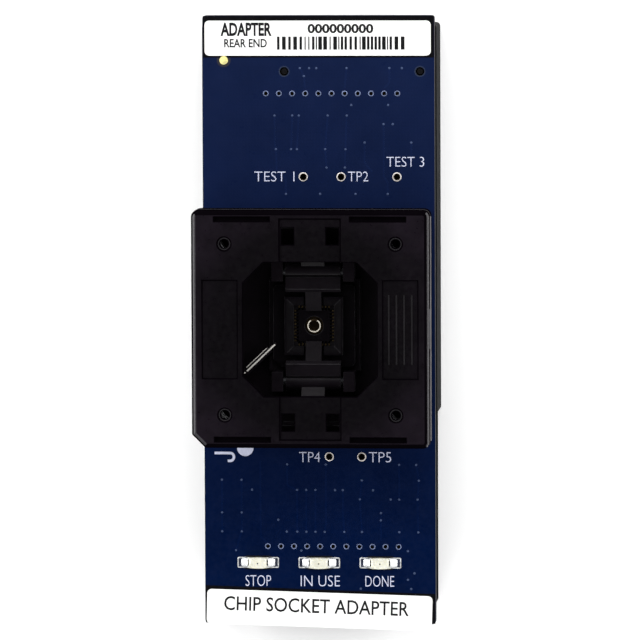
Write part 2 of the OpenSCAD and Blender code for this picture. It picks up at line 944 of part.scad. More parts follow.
module ground_barrel() {
  color(c_gold) translate([0, 0, top_z]) difference() {
    union() {
      translate([0, 0, probe_low]) cylinder(h = probe_top - probe_low, r = probe_r);
      translate([0, 0, tail_below]) cylinder(h = probe_low - tail_below + air, r = ground_tail_r);
    }
    translate([0, 0, probe_floor]) cylinder(h = probe_top, r = probe_bore);
  }
}

module ground_plunger() {
  color(c_gold) translate([0, 0, top_z]) difference() {
    translate([0, 0, plunger_low]) cylinder(h = plunger_top - plunger_low, r = plunger_r);
    translate([0, 0, plunger_top - plunger_cup]) cylinder(h = plunger_cup + air, r = plunger_cup_r);
  }
}

module ground_spring() {
  color(c_steel) translate([0, 0, top_z]) {
    coil(pspring_d, pspring_wire, probe_floor + slip, plunger_low - slip, pspring_turns);
  }
}

// Opening in the cover, with cut corners
module cover_opening() {
  a = open_half;
  b = open_half - open_cut;
  translate([0, 0, plate_low - air]) linear_extrude(plate_t + 2 * air) polygon([
    [-a, -b],
    [-b, -a],
    [b, -a],
    [a, -b],
    [a, b],
    [b, a],
    [-b, a],
    [-a, b]
  ]);
}

// Ribs and presser foot inside the cover
module cover_inside() {
  for (x = [-1, 1], y = [-1, 1]) translate([x * spring_at, y * spring_at, cup_low]) {
    cylinder(h = plate_low - cup_low + air, r = cup_r);
  }
  for (end = [0, 1]) mirror([0, end, 0]) {
    block([-press_half, press_y0, press_low], [press_half, press_y1, plate_low + air]);
  }
  for (side = [0, 1], end = [0, 1]) mirror([side, 0, 0]) mirror([0, end, 0]) {
    block(
      [rib_in, post_half + rib_gap, rib_low],
      [cover_in + air, post_half + rib_gap + rib_t, plate_low + air]
    );
  }
}

// Relief on the cover's top: bands, windows, side panels and edge slots
module cover_relief() {
  for (end = [0, 1]) mirror([0, end, 0]) {
    block([-band_half, open_half - air, socket_h - band_deep], [band_half, band_out, socket_h + air]);
    for (side = [0, 1]) mirror([side, 0, 0]) {
      block([window_in, window_y0, plate_low - air], [window_out, window_y1, socket_h + air]);
      block(
        [edge_slot_x0, edge_slot_y - edge_slot_w / 2, socket_h - edge_slot_deep],
        [edge_slot_x1, edge_slot_y + edge_slot_w / 2, socket_h + air]
      );
    }
  }
  for (side = [0, 1]) mirror([side, 0, 0]) {
    block(
      [side_panel_x0, -side_panel_half, socket_h - side_panel_deep],
      [side_panel_x1, side_panel_half, socket_h + air]
    );
  }
}

module socket_cover() {
  color(c_cover) translate([0, 0, top_z]) difference() {
    union() {
      difference() {
        translate([0, 0, skirt_low]) keyed_plate(cover_w, socket_h - skirt_low, cover_corner, cover_cut);
        translate([0, 0, skirt_low - air]) {
          keyed_plate(2 * cover_in, plate_low - skirt_low + air, base_corner / 2, cover_in_cut);
        }
      }
      cover_inside();
    }
    cover_opening();
    cover_relief();
    for (x = [-1, 1], y = [-1, 1]) translate([x * spring_at, y * spring_at, 0]) {
      translate([0, 0, cup_low - air]) cylinder(h = plate_low - cup_low + air, r = spring_pocket_r);
      cylinder(h = socket_h + air, r = corner_hole_r);
      translate([0, 0, socket_h - corner_ring_deep]) cylinder(h = corner_ring_deep + air, r = corner_ring_r);
    }
    for (side = [0, 1]) mirror([side, 0, 0]) {
      block([cover_in - air, -stop_half, stop_low], [cover_half + air, stop_half, stop_high]);
    }
  }
}

module cover_springs() {
  color(c_steel) translate([0, 0, top_z]) for (x = [-1, 1], y = [-1, 1]) {
    translate([x * spring_at, y * spring_at, 0]) {
      coil(cspring_d, cspring_wire, spring_pocket_low + slip, plate_low - slip, cspring_turns);
    }
  }
}

// One latch: body, finger, hub, arm and rounded nose, drawn for the rear
module latch() {
  dy = arm_half_t * sin(latch_rise);
  dz = arm_half_t * cos(latch_rise);
  difference() {
    union() {
      along_x(latch_half) polygon([
        [pivot_y, pivot_z - hub_r],
        [pivot_y, pivot_z + hub_r],
        [groove_y, latch_top + slip],
        [latch_in + arm_half_t, latch_top],
        [latch_in, latch_top - arm_half_t],
        [latch_in, latch_low],
        [groove_y, latch_low - slip]
      ]);
      along_x(finger_half) polygon([
        [latch_in + air, latch_low],
        [latch_in + air, latch_top - arm_half_t],
        [finger_heel, latch_top - 2 * arm_half_t],
        [finger_in, finger_tip_top],
        [finger_in, finger_low],
        [finger_in + arm_half_t, finger_low],
        [finger_heel, latch_low]
      ]);
      along_x(nose_half) polygon([
        [pivot_y + dy, pivot_z - dz],
        [nose_y + dy, nose_z - dz],
        [nose_y - dy, nose_z + dz],
        [pivot_y - dy, pivot_z + dz]
      ]);
      rod_x(pivot_y, pivot_z, hub_r, latch_half);
      rod_x(nose_y, nose_z, nose_r, nose_half);
    }
    rod_x(pivot_y, pivot_z, hub_bore, latch_half + air);
    block(
      [-latch_half - air, groove_y - groove_w / 2, latch_top - groove_deep],
      [latch_half + air, groove_y + groove_w / 2, latch_top + hub_r]
    );
  }
}

module latch_rear() {
  color(c_latch) translate([0, 0, top_z]) latch();
}

module latch_front() {
  color(c_latch) translate([0, 0, top_z]) mirror([0, 1, 0]) latch();
}

module latch_shaft_rear() {
  color(c_steel) translate([0, 0, top_z]) rod_x(pivot_y, pivot_z, shaft_r, shaft_half);
}

module latch_shaft_front() {
  color(c_steel) translate([0, 0, top_z]) rod_x(-pivot_y, pivot_z, shaft_r, shaft_half);
}

// Spring under a latch nose
module latch_spring(end) {
  color(c_steel) translate([0, end * lspring_y, top_z]) {
    coil(lspring_d, lspring_wire, lspring_low + slip, lspring_top, lspring_turns);
  }
}

module latch_spring_rear() {
  latch_spring(1);
}

module latch_spring_front() {
  latch_spring(-1);
}

module contact_pointer() {
  color(c_white) translate([pointer_from[0], pointer_from[1], top_z + seat_h]) rotate([0, 0, pointer_deg]) {
    block([0, -pointer_w / 2, 0], [pointer_len, pointer_w / 2, pointer_t]);
  }
}

carrier_frame();
carrier_screws();
standoff_nuts();
main_board();
header_barrels();
test_point_barrels();
fiducial_pad();
strip_rear();
strip_front();
strip_contacts_rear();
strip_contacts_front();
lamp_bodies();
lamp_lenses();
lamp_terminals();
rear_label();
front_label();
memory_chip();
memory_leads();
capacitor_bodies();
capacitor_ends();
resistor_bodies();
resistor_ends();
tail_guide();
socket_base();
base_fixings();
contact_pins();
nest_plate();
ground_barrel();
ground_plunger();
ground_spring();
socket_cover();
cover_springs();
latch_rear();
latch_front();
latch_shaft_rear();
latch_shaft_front();
latch_spring_rear();
latch_spring_front();
contact_pointer();
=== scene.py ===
"""Looks of a chip programming adapter: a navy board on a black carrier, with an open-top spring socket."""

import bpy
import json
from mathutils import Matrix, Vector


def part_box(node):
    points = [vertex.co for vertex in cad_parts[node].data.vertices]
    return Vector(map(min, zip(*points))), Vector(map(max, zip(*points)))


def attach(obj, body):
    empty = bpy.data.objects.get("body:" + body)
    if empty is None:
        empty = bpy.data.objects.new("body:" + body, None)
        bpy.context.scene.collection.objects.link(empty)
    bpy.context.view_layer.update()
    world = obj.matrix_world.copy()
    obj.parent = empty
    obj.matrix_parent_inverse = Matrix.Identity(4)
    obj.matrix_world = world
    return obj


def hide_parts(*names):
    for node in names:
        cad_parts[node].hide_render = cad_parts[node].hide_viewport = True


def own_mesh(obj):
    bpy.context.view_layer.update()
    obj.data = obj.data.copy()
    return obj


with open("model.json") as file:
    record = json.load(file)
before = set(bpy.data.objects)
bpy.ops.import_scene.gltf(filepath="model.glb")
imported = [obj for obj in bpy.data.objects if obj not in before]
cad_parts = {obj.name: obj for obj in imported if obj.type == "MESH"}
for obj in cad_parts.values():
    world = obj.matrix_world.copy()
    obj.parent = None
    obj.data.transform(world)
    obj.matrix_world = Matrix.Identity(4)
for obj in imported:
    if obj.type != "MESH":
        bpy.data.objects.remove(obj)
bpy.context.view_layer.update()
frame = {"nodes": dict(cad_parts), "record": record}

import json
import math

import bmesh
import bpy
from bpy.props import FloatProperty, FloatVectorProperty, IntProperty, PointerProperty, StringProperty
from mathutils import Matrix, Vector
from mathutils.kdtree import KDTree

bl_info = {
    "name": "Chip programming adapter looks",
    "version": (1, 0, 0),
    "blender": (4, 5, 0),
    "location": "View3D > Sidebar > Adapter",
    "description": "Dresses the solids of a chip programming adapter and sets up its studio",
    "category": "Object",
}

MM = 0.001
NODES = frame["nodes"]
SLOT_OF = {part["node"]: part["material_slot"] for part in frame["record"]["subparts"]}
BODY_OF = {node: body for body, nodes in frame["record"]["behaviour"]["bodies"].items() for node in nodes}
# The body that stays still
FIXED = "module"
# Level of the board's top face
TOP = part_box("main_board")[1].z
# Thickness of printing, films and thin lines
SKIN = 0.02 * MM
# Bend radius of lines that keep their corners
HARD_BEND = 0.001 * MM
# Angles in degrees past which an edge looks sharp: on most pieces, on soft ones and on spring wire
CRISP_ANGLE = 38.0
SOFT_ANGLE = 50.0
WIRE_ANGLE = 60.0


def colour(name, description, default):
    """A colour setting."""
    return FloatVectorProperty(
        name=name, description=description, subtype="COLOR", size=3, min=0.0, max=1.0, default=default
    )


def length(name, description, millimetres):
    """A length setting, given in millimetres and kept in metres."""
    default = millimetres * MM
    return FloatProperty(
        name=name, description=description, unit="LENGTH", subtype="DISTANCE", precision=5, default=default
    )


def angle(name, description, degrees):
    """An angle setting, given in degrees and kept in radians."""
    return FloatProperty(name=name, description=description, subtype="ANGLE", default=math.radians(degrees))


def whole(name, description, default, least):
    """A whole number setting."""
    return IntProperty(name=name, description=description, default=default, min=least)


def wording(name, description, default):
    """A setting that holds words."""
    return StringProperty(name=name, description=description, default=default)


class BoardLook(bpy.types.PropertyGroup):
    """Finish and markings of the circuit board"""

    # The rear tone is lighter than the front by a painted reflection haze
    mask_rear_painted_haze: colour("Rear mask", "Solder mask at the rear end", (0.0042, 0.0090, 0.0350))
    mask_front: colour("Front mask", "Solder mask at the front end", (0.0001, 0.0040, 0.0262))
    over_copper: FloatProperty(
        name="Over copper", description="Lightness of the mask over copper", subtype="FACTOR", default=1.2
    )
    laminate: colour("Laminate", "Bare laminate at the board's edges", (0.0150, 0.0125, 0.0080))
    via: colour("Via", "Mask over the covered vias", (0.0450, 0.0640, 0.1250))
    legend: colour("Legend", "Printed words and marks", (0.5200, 0.5400, 0.6800))
    trace_width: length("Trace width", "Width of the copper traces", 0.3)
    via_radius: length("Via radius", "Radius of the covered vias", 0.18)
    legend_stroke: length("Mark stroke", "Stroke of the printed marks", 0.4)


class SocketLook(bpy.types.PropertyGroup):
    """Finish of the socket and its metal"""

    cover: colour("Cover", "Moulded cover plastic", (0.0016, 0.0011, 0.0018))
    base: colour("Base", "Plastic of the base", (0.0036, 0.0024, 0.0038))
    latch: colour("Latch", "Plastic of the latches", (0.0040, 0.0030, 0.0042))
    # Pale edge tone: partly wear of the plastic and partly a painted sheen on rounded edges
    worn: colour("Worn edge", "Plastic where an edge is rubbed", (0.0360, 0.0345, 0.0380))
    gold: colour("Gold", "Plated contacts", (0.9000, 0.6900, 0.3000))
    # Pale ring on the plunger: plating pale with wear and a painted highlight of its rim
    pale: colour("Pale plating", "Worn plating of the ground plunger", (0.6200, 0.5800, 0.5000))
    edge: length("Edge radius", "Rounding of the cover's top rim", 0.7)
    rib_pitch: length("Rib pitch", "Distance between the ribs on the cover's right side", 1.15)
    spring_sides: whole("Spring sides", "Sides of the spring wire", 10, 6)


class LabelLook(bpy.types.PropertyGroup):
    """Paper labels and what is printed on them"""

    paper: colour("Paper", "Label paper", (0.8600, 0.8600, 0.8500))
    ink: colour("Ink", "Printing ink", (0.0040, 0.0040, 0.0050))
    front_words: wording("Front words", "Words on the front label", "CHIP SOCKET ADAPTER")
    rear_word: wording("Rear word", "Bold word on the rear label", "ADAPTER")
    rear_note: wording("Rear note", "Small words on the rear label", "REAR END")
    rear_digits: wording("Rear digits", "Digits over the bars", "000000000")
    bar_count: whole("Bars", "Number of bars on the rear label", 29, 2)
    bar_seed: whole("Bar seed", "Seed of the bars' widths", 7, 0)
    lift: length("Corner lift", "How far the label corners lift", 0.14)


class LampLook(bpy.types.PropertyGroup):
    """Status lamps and their solder"""

    body: colour("Body", "White lamp body", (0.6600, 0.6600, 0.6300))
    lens: colour("Lens", "Cream lens", (0.6500, 0.6400, 0.5500))
    pad_length: length("Pad length", "Length over both solder pads", 6.35)
    pad_width: length("Pad width", "Width of the solder pads", 1.66)
    words: wording("Words", "Lamp words from left to right", "STOP,IN USE,DONE")


class StageLook(bpy.types.PropertyGroup):
    """Camera, floor and lights"""

    tilt_x: angle("Tilt X", "Camera turn about X", 4.68)
    tilt_y: angle("Tilt Y", "Camera turn about Y", -4.79)
    roll: angle("Roll", "Camera turn about Z", 0.23)
    distance: length("Distance", "From the camera to the board", 1000)
    shift_x: length("Shift X", "Sideways camera shift", 0.11)
    shift_y: length("Shift Y", "Upward camera shift", 0.09)
    lens: FloatProperty(name="Lens", description="Focal length in millimetres", default=369.9)
    power: FloatProperty(name="Power", description="Power of each soft light", unit="POWER", default=6.4)
    floor: colour("Floor", "Pale floor", (0.9850, 0.9850, 0.9850))


LOOKS = {
    "adapter_board": BoardLook,
    "adapter_socket": SocketLook,
    "adapter_label": LabelLook,
    "adapter_lamp": LampLook,
    "adapter_stage": StageLook,
}


def look(name):
    """The settings group of one part of the adapter."""
    return getattr(bpy.context.scene, "adapter_" + name)


# Materials

# Depth of the grain in moulded plastic, in millimetres, and the share of it that its pits take
GRAIN_DEPTH = 0.002
PIT_SHARE = 0.5


class Finish:
    """One procedural material: a principled shader and the patterns that feed it, sized in millimetres."""

    def __init__(self, name, settings=None):
        self.material = bpy.data.materials.new(name)
        self.material.use_nodes = True
        self.tree = self.material.node_tree
        self.shader = self.tree.nodes["Principled BSDF"]
        for label, value in (settings or {}).items():
            self.shader.inputs[label].default_value = value

    def feed(self, socket, value):
        """Links a socket or sets a value."""
        if isinstance(value, bpy.types.NodeSocket):
            self.tree.links.new(value, socket)
        else:
            socket.default_value = value

    def set(self, label, value):
        self.feed(self.shader.inputs[label], value)

    def node(self, kind, inputs, output=0, **settings):
        made = self.tree.nodes.new(kind)
        for label, value in settings.items():
            setattr(made, label, value)
        for label, value in inputs.items():
            self.feed(made.inputs[label], value)
        return made.outputs[output]

    def place(self, stretch=(1.0, 1.0, 1.0), turn=0.0):
        here = self.node("ShaderNodeTexCoord", {}, "Object")
        inputs = {"Vector": here, "Rotation": (0.0, 0.0, turn), "Scale": stretch}
        return self.node("ShaderNodeMapping", inputs)

    def noise(self, grain, detail=3.0, stretch=(1.0, 1.0, 1.0)):
        scale = 1.0 / (grain * MM)
        inputs = {"Vector": self.place(stretch), "Scale": scale, "Detail": detail, "Roughness": 0.55}
        return self.node("ShaderNodeTexNoise", inputs)

    def cells(self, grain):
        inputs = {"Vector": self.place(), "Scale": 1.0 / (grain * MM)}
        return self.node("ShaderNodeTexVoronoi", inputs, "Distance")

    def weave(self, pitch, turn):
        scale = 0.31 / (pitch * MM)
        inputs = {"Vector": self.place(turn=turn), "Scale": scale, "Distortion": 0.4, "Detail": 1.0}
        return self.node("ShaderNodeTexWave", inputs, "Fac")

    def span(self, value, low=0.0, high=1.0, start=0.3, stop=0.7):
        """A value spread from its start and stop to a low and a high one."""
        inputs = {"Value": value, "From Min": start, "From Max": stop, "To Min": low, "To Max": high}
        return self.node("ShaderNodeMapRange", inputs)

    def times(self, a, b):
        return self.node("ShaderNodeMath", {0: a, 1: b}, operation="MULTIPLY")

    def mix(self, factor, a, b):
        return self.node("ShaderNodeMix", {0: factor, 6: a, 7: b}, 2, data_type="RGBA")

    def far_from_axis(self, start, stop):
        """0 within the start distance from the upright axis, 1 past the stop distance."""
        flat = self.place((1.0, 1.0, 0.0))
        reach = self.node("ShaderNodeVectorMath", {0: flat}, "Value", operation="LENGTH")
        return self.span(reach, start=start * MM, stop=stop * MM)

    def along_board(self, start, stop):
        """0 at the start place along the board, 1 at the stop place."""
        along = self.node("ShaderNodeSeparateXYZ", {0: self.place()}, "Y")
        return self.span(along, start=start * MM, stop=stop * MM)

    # Share of the pale edge tone: partly wear and partly a painted sheen
    def worn(self):
        return self.node("ShaderNodeAttribute", {}, "Fac", attribute_name="worn")

    def bump(self, height, depth, under=None):
        inputs = {"Height": height, "Distance": depth * MM, "Strength": 1.0}
        if under is not None:
            inputs["Normal"] = under
        return self.node("ShaderNodeBump", inputs)


def rgba(values, gain=1.0):
    """A colour with a gain, as the shader takes it."""
    return tuple(min(1.0, value * gain) for value in values) + (1.0,)


def plastic(name, tone, roughness, grain, worn, specular=0.12, corner_paling=1.0):
    """Moulded plastic: fine grain, cloudy tone, pale edges that are partly wear and partly a painted sheen,
    and corners paler far from the upright axis.
    """
    made = Finish(name, {"IOR": 1.5, "Specular IOR Level": specular})
    cloud = made.span(made.noise(5.0))
    flat = made.mix(cloud, rgba(tone, 0.7), rgba(tone, 1.35))
    # Paler far from the upright axis, toward the corners
    far = made.times(made.far_from_axis(15.0, 21.0), made.span(made.noise(3.0, detail=4.0), 0.35, 1.0))
    corner_paled = made.mix(far, flat, rgba(tone, corner_paling))
    # Pale edges: partly wear and partly a painted sheen
    rubbed_and_sheen = made.times(made.worn(), made.span(made.noise(1.1), 0.1, 0.7))
    made.set("Base Color", made.mix(rubbed_and_sheen, corner_paled, rgba(worn)))
    made.set("Roughness", made.span(made.noise(0.7, detail=4.0), roughness - 0.06, roughness + 0.08))
    pits = made.bump(made.cells(grain * 1.7), GRAIN_DEPTH * PIT_SHARE)
    made.set("Normal", made.bump(made.noise(grain, detail=4.0), GRAIN_DEPTH, pits))
    return made.material


def metal(name, tone, roughness, stretch=(1.0, 1.0, 1.0)):
    """Plated or drawn metal with cloudy tarnish and fine marks."""
    made = Finish(name, {"Metallic": 1.0, "IOR": 1.8})
    tarnish = made.span(made.noise(0.9, detail=4.0))
    made.set("Base Color", made.mix(tarnish, rgba(tone, 0.72), rgba(tone, 1.05)))
    marks = made.noise(0.3, stretch=stretch)
    made.set("Roughness", made.span(marks, roughness * 0.75, roughness * 1.35))
    made.set("Normal", made.bump(made.noise(0.14, stretch=stretch), 0.006))
    return made.material


def solder_mask(name, rear, front, gain, roughness):
    """Solder mask over glass cloth: cloudy navy with a faint weave, lighter toward the rear by a painted
    reflection haze.
    """
    made = Finish(name, {"IOR": 1.5, "Specular IOR Level": 0.04})
    # Painted reflection haze: the mask grows lighter from its front tone to its rear tone along the board
    rear_haze = made.along_board(-34.0, 34.0)
    cloud = made.span(made.noise(9.0, detail=4.0))
    fleck = made.span(made.noise(0.6, detail=2.0), 0.0, 0.35)
    weave = made.times(made.weave(0.46, 0.0), made.weave(0.52, math.pi / 2))
    dark = made.mix(rear_haze, rgba(front, 0.8 * gain), rgba(rear, 0.85 * gain))
    light = made.mix(rear_haze, rgba(front, 1.1 * gain), rgba(rear, 1.1 * gain))
    made.set("Base Color", made.mix(fleck, made.mix(cloud, dark, light), rgba(rear, gain)))
    made.set("Roughness", made.span(made.noise(2.2), roughness - 0.06, roughness + 0.08))
    made.set("Normal", made.bump(weave, 0.005, made.bump(made.noise(0.25, detail=2.0), 0.003)))
    return made.material


def printed(name, tone, shade, roughness, grain, specular=0.3):
    """Printed or coated white and ink: slightly patchy cover over the surface under it."""
    made = Finish(name, {"IOR": 1.45, "Specular IOR Level": specular})
    patch = made.span(made.noise(grain, detail=4.0))
    made.set("Base Color", made.mix(patch, rgba(tone, shade), rgba(tone)))
    made.set("Roughness", made.span(made.noise(grain * 0.5), roughness - 0.08, roughness + 0.08))
    made.set("Normal", made.bump(made.noise(grain * 0.3), 0.006))
    return made.material


def paper(name, tone):
    """Label paper with short fibres and a low sheen."""
    made = Finish(name, {"IOR": 1.45, "Specular IOR Level": 0.25, "Sheen Weight": 0.1})
    fibre = made.noise(0.35, detail=4.0, stretch=(1.0, 0.25, 1.0))
    cross = made.noise(0.4, detail=4.0, stretch=(0.3, 1.0, 1.0))
    made.set("Base Color", made.mix(made.span(made.noise(6.0)), rgba(tone, 0.965), rgba(tone)))
    made.set("Roughness", made.span(fibre, 0.5, 0.68))
    made.set("Normal", made.bump(cross, 0.008, made.bump(fibre, 0.008)))
    return made.material


def laminate(name, tone):
    """Bare glass laminate: layers seen on edge, with cut fibres."""
    made = Finish(name, {"IOR": 1.5, "Specular IOR Level": 0.3})
    layers = made.noise(0.5, stretch=(0.15, 0.15, 3.0))
    made.set("Base Color", made.mix(made.span(layers), rgba(tone, 0.55), rgba(tone)))
    made.set("Roughness", made.span(made.noise(0.3), 0.55, 0.75))
    made.set("Normal", made.bump(layers, 0.02))
    return made.material


def lens_resin(name, tone):
    """Cast lamp lens: cream resin with soft depth."""
    depth = {"Subsurface Weight": 0.35, "Subsurface Scale": 0.4 * MM, "Subsurface Radius": (1.0, 0.9, 0.6)}
    made = Finish(name, {"IOR": 1.5, "Coat Weight": 0.25, **depth})
    made.set("Base Color", made.mix(made.span(made.noise(0.9)), rgba(tone, 0.9), rgba(tone, 1.08)))
    made.set("Roughness", made.span(made.noise(0.4), 0.22, 0.36))
    made.set("Normal", made.bump(made.noise(0.2, detail=2.0), 0.004))
    return made.material


def finish(name):
    """The material of one finish, made on first use."""
    found = bpy.data.materials.get("finish_" + name)
    if found:
        return found
    board, socket, label, lamp = look("board"), look("socket"), look("label"), look("lamp")
    worn = socket.worn
    masks = (board.mask_rear_painted_haze, board.mask_front)
    carrier = (0.0045, 0.0045, 0.0052)
    recipes = {
        # Tone, roughness, grain, tone of the edges (wear and a painted sheen), specular level and paling of
        # the corners far from the axis
        "carrier_plastic": (plastic, carrier, 0.68, 0.16, worn, 0.04),
        "carrier_matt": (plastic, carrier, 0.85, 0.16, worn, 0.0),
        "cover_plastic": (plastic, socket.cover, 0.32, 0.11, worn, 0.11, 4.6),
        # Pale rim strips: a painted highlight line
        "cover_rim": (plastic, worn, 0.24, 0.11, worn, 0.25),
        "cover_side": (plastic, socket.cover, 0.85, 0.16, socket.cover, 0.0),
        # Pale bead and pale side line: painted highlights
        "cover_bead": (plastic, worn, 0.4, 0.11, worn, 0.3),
        "cover_line": (plastic, (0.1700, 0.1650, 0.1750), 0.4, 0.11, worn, 0.3),
        "cover_rib": (plastic, (0.0085, 0.0078, 0.0088), 0.5, 0.11, worn, 0.05),
        # Paler rings in the corner holes: painted highlights
        "cover_ring": (plastic, (0.0170, 0.0160, 0.0175), 0.5, 0.11, worn, 0.05),
        "socket_plastic": (plastic, socket.base, 0.45, 0.12, worn, 0.06),
        "nest_plastic": (plastic, socket.cover, 0.5, 0.09, worn, 0.03),
        "latch_plastic": (plastic, socket.latch, 0.36, 0.1, worn, 0.07),
        "strip_plastic": (plastic, (0.0060, 0.0060, 0.0068), 0.5, 0.1, worn),
        "chip_black": (plastic, (0.0090, 0.0090, 0.0095), 0.6, 0.07, worn),
        # Tone, roughness and stretch of the marks
        "steel": (metal, (0.62, 0.62, 0.63), 0.26, (1.0, 1.0, 0.2)),
        "tin": (metal, (0.86, 0.87, 0.88), 0.5),
        "gold": (metal, socket.gold, 0.45),
        "bright_gold": (metal, (0.98, 0.90, 0.42), 0.62),
        "plating": (metal, (0.23, 0.28, 0.45), 0.5),
        "pad_plating": (metal, (0.09, 0.10, 0.15), 0.4),
        "ring_plating": (metal, (0.80, 0.76, 0.73), 0.6),
        # This dark finish paints the shade in bores, hollows and deep contacts
        "bronze": (metal, (0.05, 0.035, 0.02), 0.4),
        "black_steel": (metal, (0.03, 0.03, 0.033), 0.5),
        # Dark steel: painted shade on the springs seen down in the holes
        "spring_steel": (metal, (0.10, 0.10, 0.105), 0.35),
        # Dark gold: painted shade on the contacts down round the nest
        "contact_gold": (metal, (0.11, 0.08, 0.04), 0.24),
        # Rear tone with a painted reflection haze, front tone, lightness and roughness
        "via": (solder_mask, board.via, board.via, 1.0, 0.4),
        "rim_mask": (solder_mask, board.via, board.via, 0.42, 0.4),
        "board": (solder_mask, *masks, 1.0, 0.33),
        "over_copper": (solder_mask, *masks, board.over_copper, 0.32),
        # Tone
        "laminate": (laminate, board.laminate),
        "mark_clearing": (laminate, (0.0085, 0.0080, 0.0150)),
        "label_paper": (paper, label.paper),
        "lamp_lens": (lens_resin, lamp.lens),
        # Tone, shade of the thin patches, roughness, grain and specular level
        "legend": (printed, board.legend, 0.82, 0.5, 0.5),
        "label_film": (printed, label.ink, 0.5, 0.6, 0.7, 0.02),
        "ink": (printed, label.ink, 0.5, 0.4, 0.7),
        # Pale ring on the plunger: plating pale with wear and a painted highlight of its rim
        "pale_plating": (printed, socket.pale, 0.86, 0.35, 0.3),
        "lamp_white": (printed, lamp.body, 0.88, 0.35, 0.4),
        "ceramic_tan": (printed, (0.42, 0.27, 0.14), 0.8, 0.45, 0.3),
        "pointer_white": (printed, (0.62, 0.60, 0.56), 0.8, 0.42, 0.4),
        "floor": (printed, look("stage").floor, 0.985, 0.7, 40.0),
    }
    maker, *values = recipes[name]
    return maker("finish_" + name, *values)


# Meshes

# Distance within which corners are welded, in a CAD node and in a made mesh
NODE_WELD = 0.001 * MM
MADE_WELD = 0.0005 * MM
# Faces that turn less than this are joined, and edges that turn more than this are rounded
FLAT_ANGLE = math.radians(0.5)
SHARP_ANGLE = math.radians(32.0)
# Share of the room beside an edge that its rounding may take
ROOM_SHARE = 0.4
# Share of the full rounding on edges that aren't chosen for it
INNER_SHARE = 0.17
# Places along an edge where its room is measured: the most of them, and their spacing as a share of the reach
ROOM_PLACES = 40
ROOM_SPACING = 0.4
# How straight across a face another edge lies to take its room
ROOM_FACING = 0.6


def piece_of(name, mesh, surfaces, body=FIXED):
    """Links a finished mesh as a piece with its finishes, which rides on a body."""
    mesh.materials.clear()
    for surface in surfaces:
        mesh.materials.append(finish(surface))
    piece = bpy.data.objects.new(name, mesh)
    bpy.context.scene.collection.objects.link(piece)
    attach(piece, body)
    return piece


def smooth(mesh, degrees=CRISP_ANGLE):
    """Smooth shading that breaks at sharp edges."""
    mesh.polygons.foreach_set("use_smooth", [True] * len(mesh.polygons))
    mesh.set_sharp_from_angle(angle=math.radians(degrees))


def mesh_from(work, name):
    """A plain mesh from an editing mesh, which is then freed."""
    mesh = bpy.data.meshes.new(name)
    work.to_mesh(mesh)
    work.free()
    return mesh


def linked_holder(name, data):
    """An object that holds a mesh, a curve, a camera or a light, linked to the scene."""
    holder = bpy.data.objects.new(name, data)
    bpy.context.scene.collection.objects.link(holder)
    return holder


def evaluated_mesh(holder):
    """A plain mesh of an object with its modifiers applied."""
    depsgraph = bpy.context.evaluated_depsgraph_get()
    return bpy.data.meshes.new_from_object(holder.evaluated_get(depsgraph), depsgraph=depsgraph)


def merged(node):
    """A welded copy of a CAD node, with its flat faces joined."""
    work = bmesh.new()
    work.from_mesh(NODES[node].data)
    bmesh.ops.remove_doubles(work, verts=work.verts, dist=NODE_WELD)
    bmesh.ops.dissolve_limit(work, angle_limit=FLAT_ANGLE, verts=work.verts, edges=work.edges)
    return work


def edge_rooms(work, sharp, reach):
    """How far it is from each sharp edge, across a face beside it, to the next sharp edge."""
    rooms = {edge: reach for edge in sharp}
    for face in work.faces:
        rim = [loop for loop in face.loops if loop.edge in rooms]
        samples = []
        for loop in rim:
            start, stop = loop.vert.co, loop.link_loop_next.vert.co
            count = min(ROOM_PLACES, math.ceil(loop.edge.calc_length() / (reach * ROOM_SPACING)))
            inward = face.normal.cross(stop - start).normalized()
            samples.extend((start.lerp(stop, (i + 0.5) / count), loop.edge, inward) for i in range(count))
        tree = KDTree(len(samples))
        for index, (place, _, _) in enumerate(samples):
            tree.insert(place, index)
        tree.balance()
        for place, edge, inward in samples:
            for other, index, distance in tree.find_range(place, reach):
                if samples[index][1] != edge and (other - place).dot(inward) > ROOM_FACING * distance:
                    rooms[edge] = min(rooms[edge], distance)
    return rooms


def strip_share(mesh, face, strip):
    """Width of a face across its longest side, as a share of the widest rounded strip."""
    corners = [mesh.vertices[i].co for i in face.vertices]
    longest = max((a - b).length for a, b in zip(corners, corners[1:] + corners[:1]))
    return min(1.0, face.area / (longest * strip))


def rounded(work, radius, name, flat_levels, segments, full_round):
    """The mesh with its sharp edges rounded, less so where room is short. Wider roundings take more of the
    pale edge tone, which is partly wear and partly a painted sheen.
    """
    weight = work.edges.layers.float.new("bevel_weight_edge")
    sharp = [edge for edge in work.edges if edge.is_manifold and edge.calc_face_angle() > SHARP_ANGLE]
    for level in flat_levels:
        sharp = [edge for edge in sharp if any(abs(v.co.z - level * MM) > SKIN for v in edge.verts)]
    reach = radius / ROOM_SHARE
    for edge, room in edge_rooms(work, sharp, reach).items():
        share = min(room / reach, INNER_SHARE if full_round else 1.0)
        edge[weight] = 1.0 if full_round and full_round(edge) else share
    mesh = mesh_from(work, name)
    # The second slot marks the faces that the rounding adds
    for _ in range(2):
        mesh.materials.append(None)
    holder = linked_holder(name, mesh)
    bevel = holder.modifiers.new("edge_rounding", "BEVEL")
    bevel.limit_method = "WEIGHT"
    bevel.width = radius
    bevel.segments = segments
    bevel.use_clamp_overlap = False
    bevel.loop_slide = False
    bevel.material = 1
    made = evaluated_mesh(holder)
    bpy.data.objects.remove(holder)
    worn = made.attributes.new("worn", "FLOAT", "FACE")
    strip = radius * math.pi / 2 / segments
    shares = [face.material_index * strip_share(made, face, strip) for face in made.polygons]
    worn.data.foreach_set("value", shares)
    made.polygons.foreach_set("material_index", [0] * len(made.polygons))
    return made


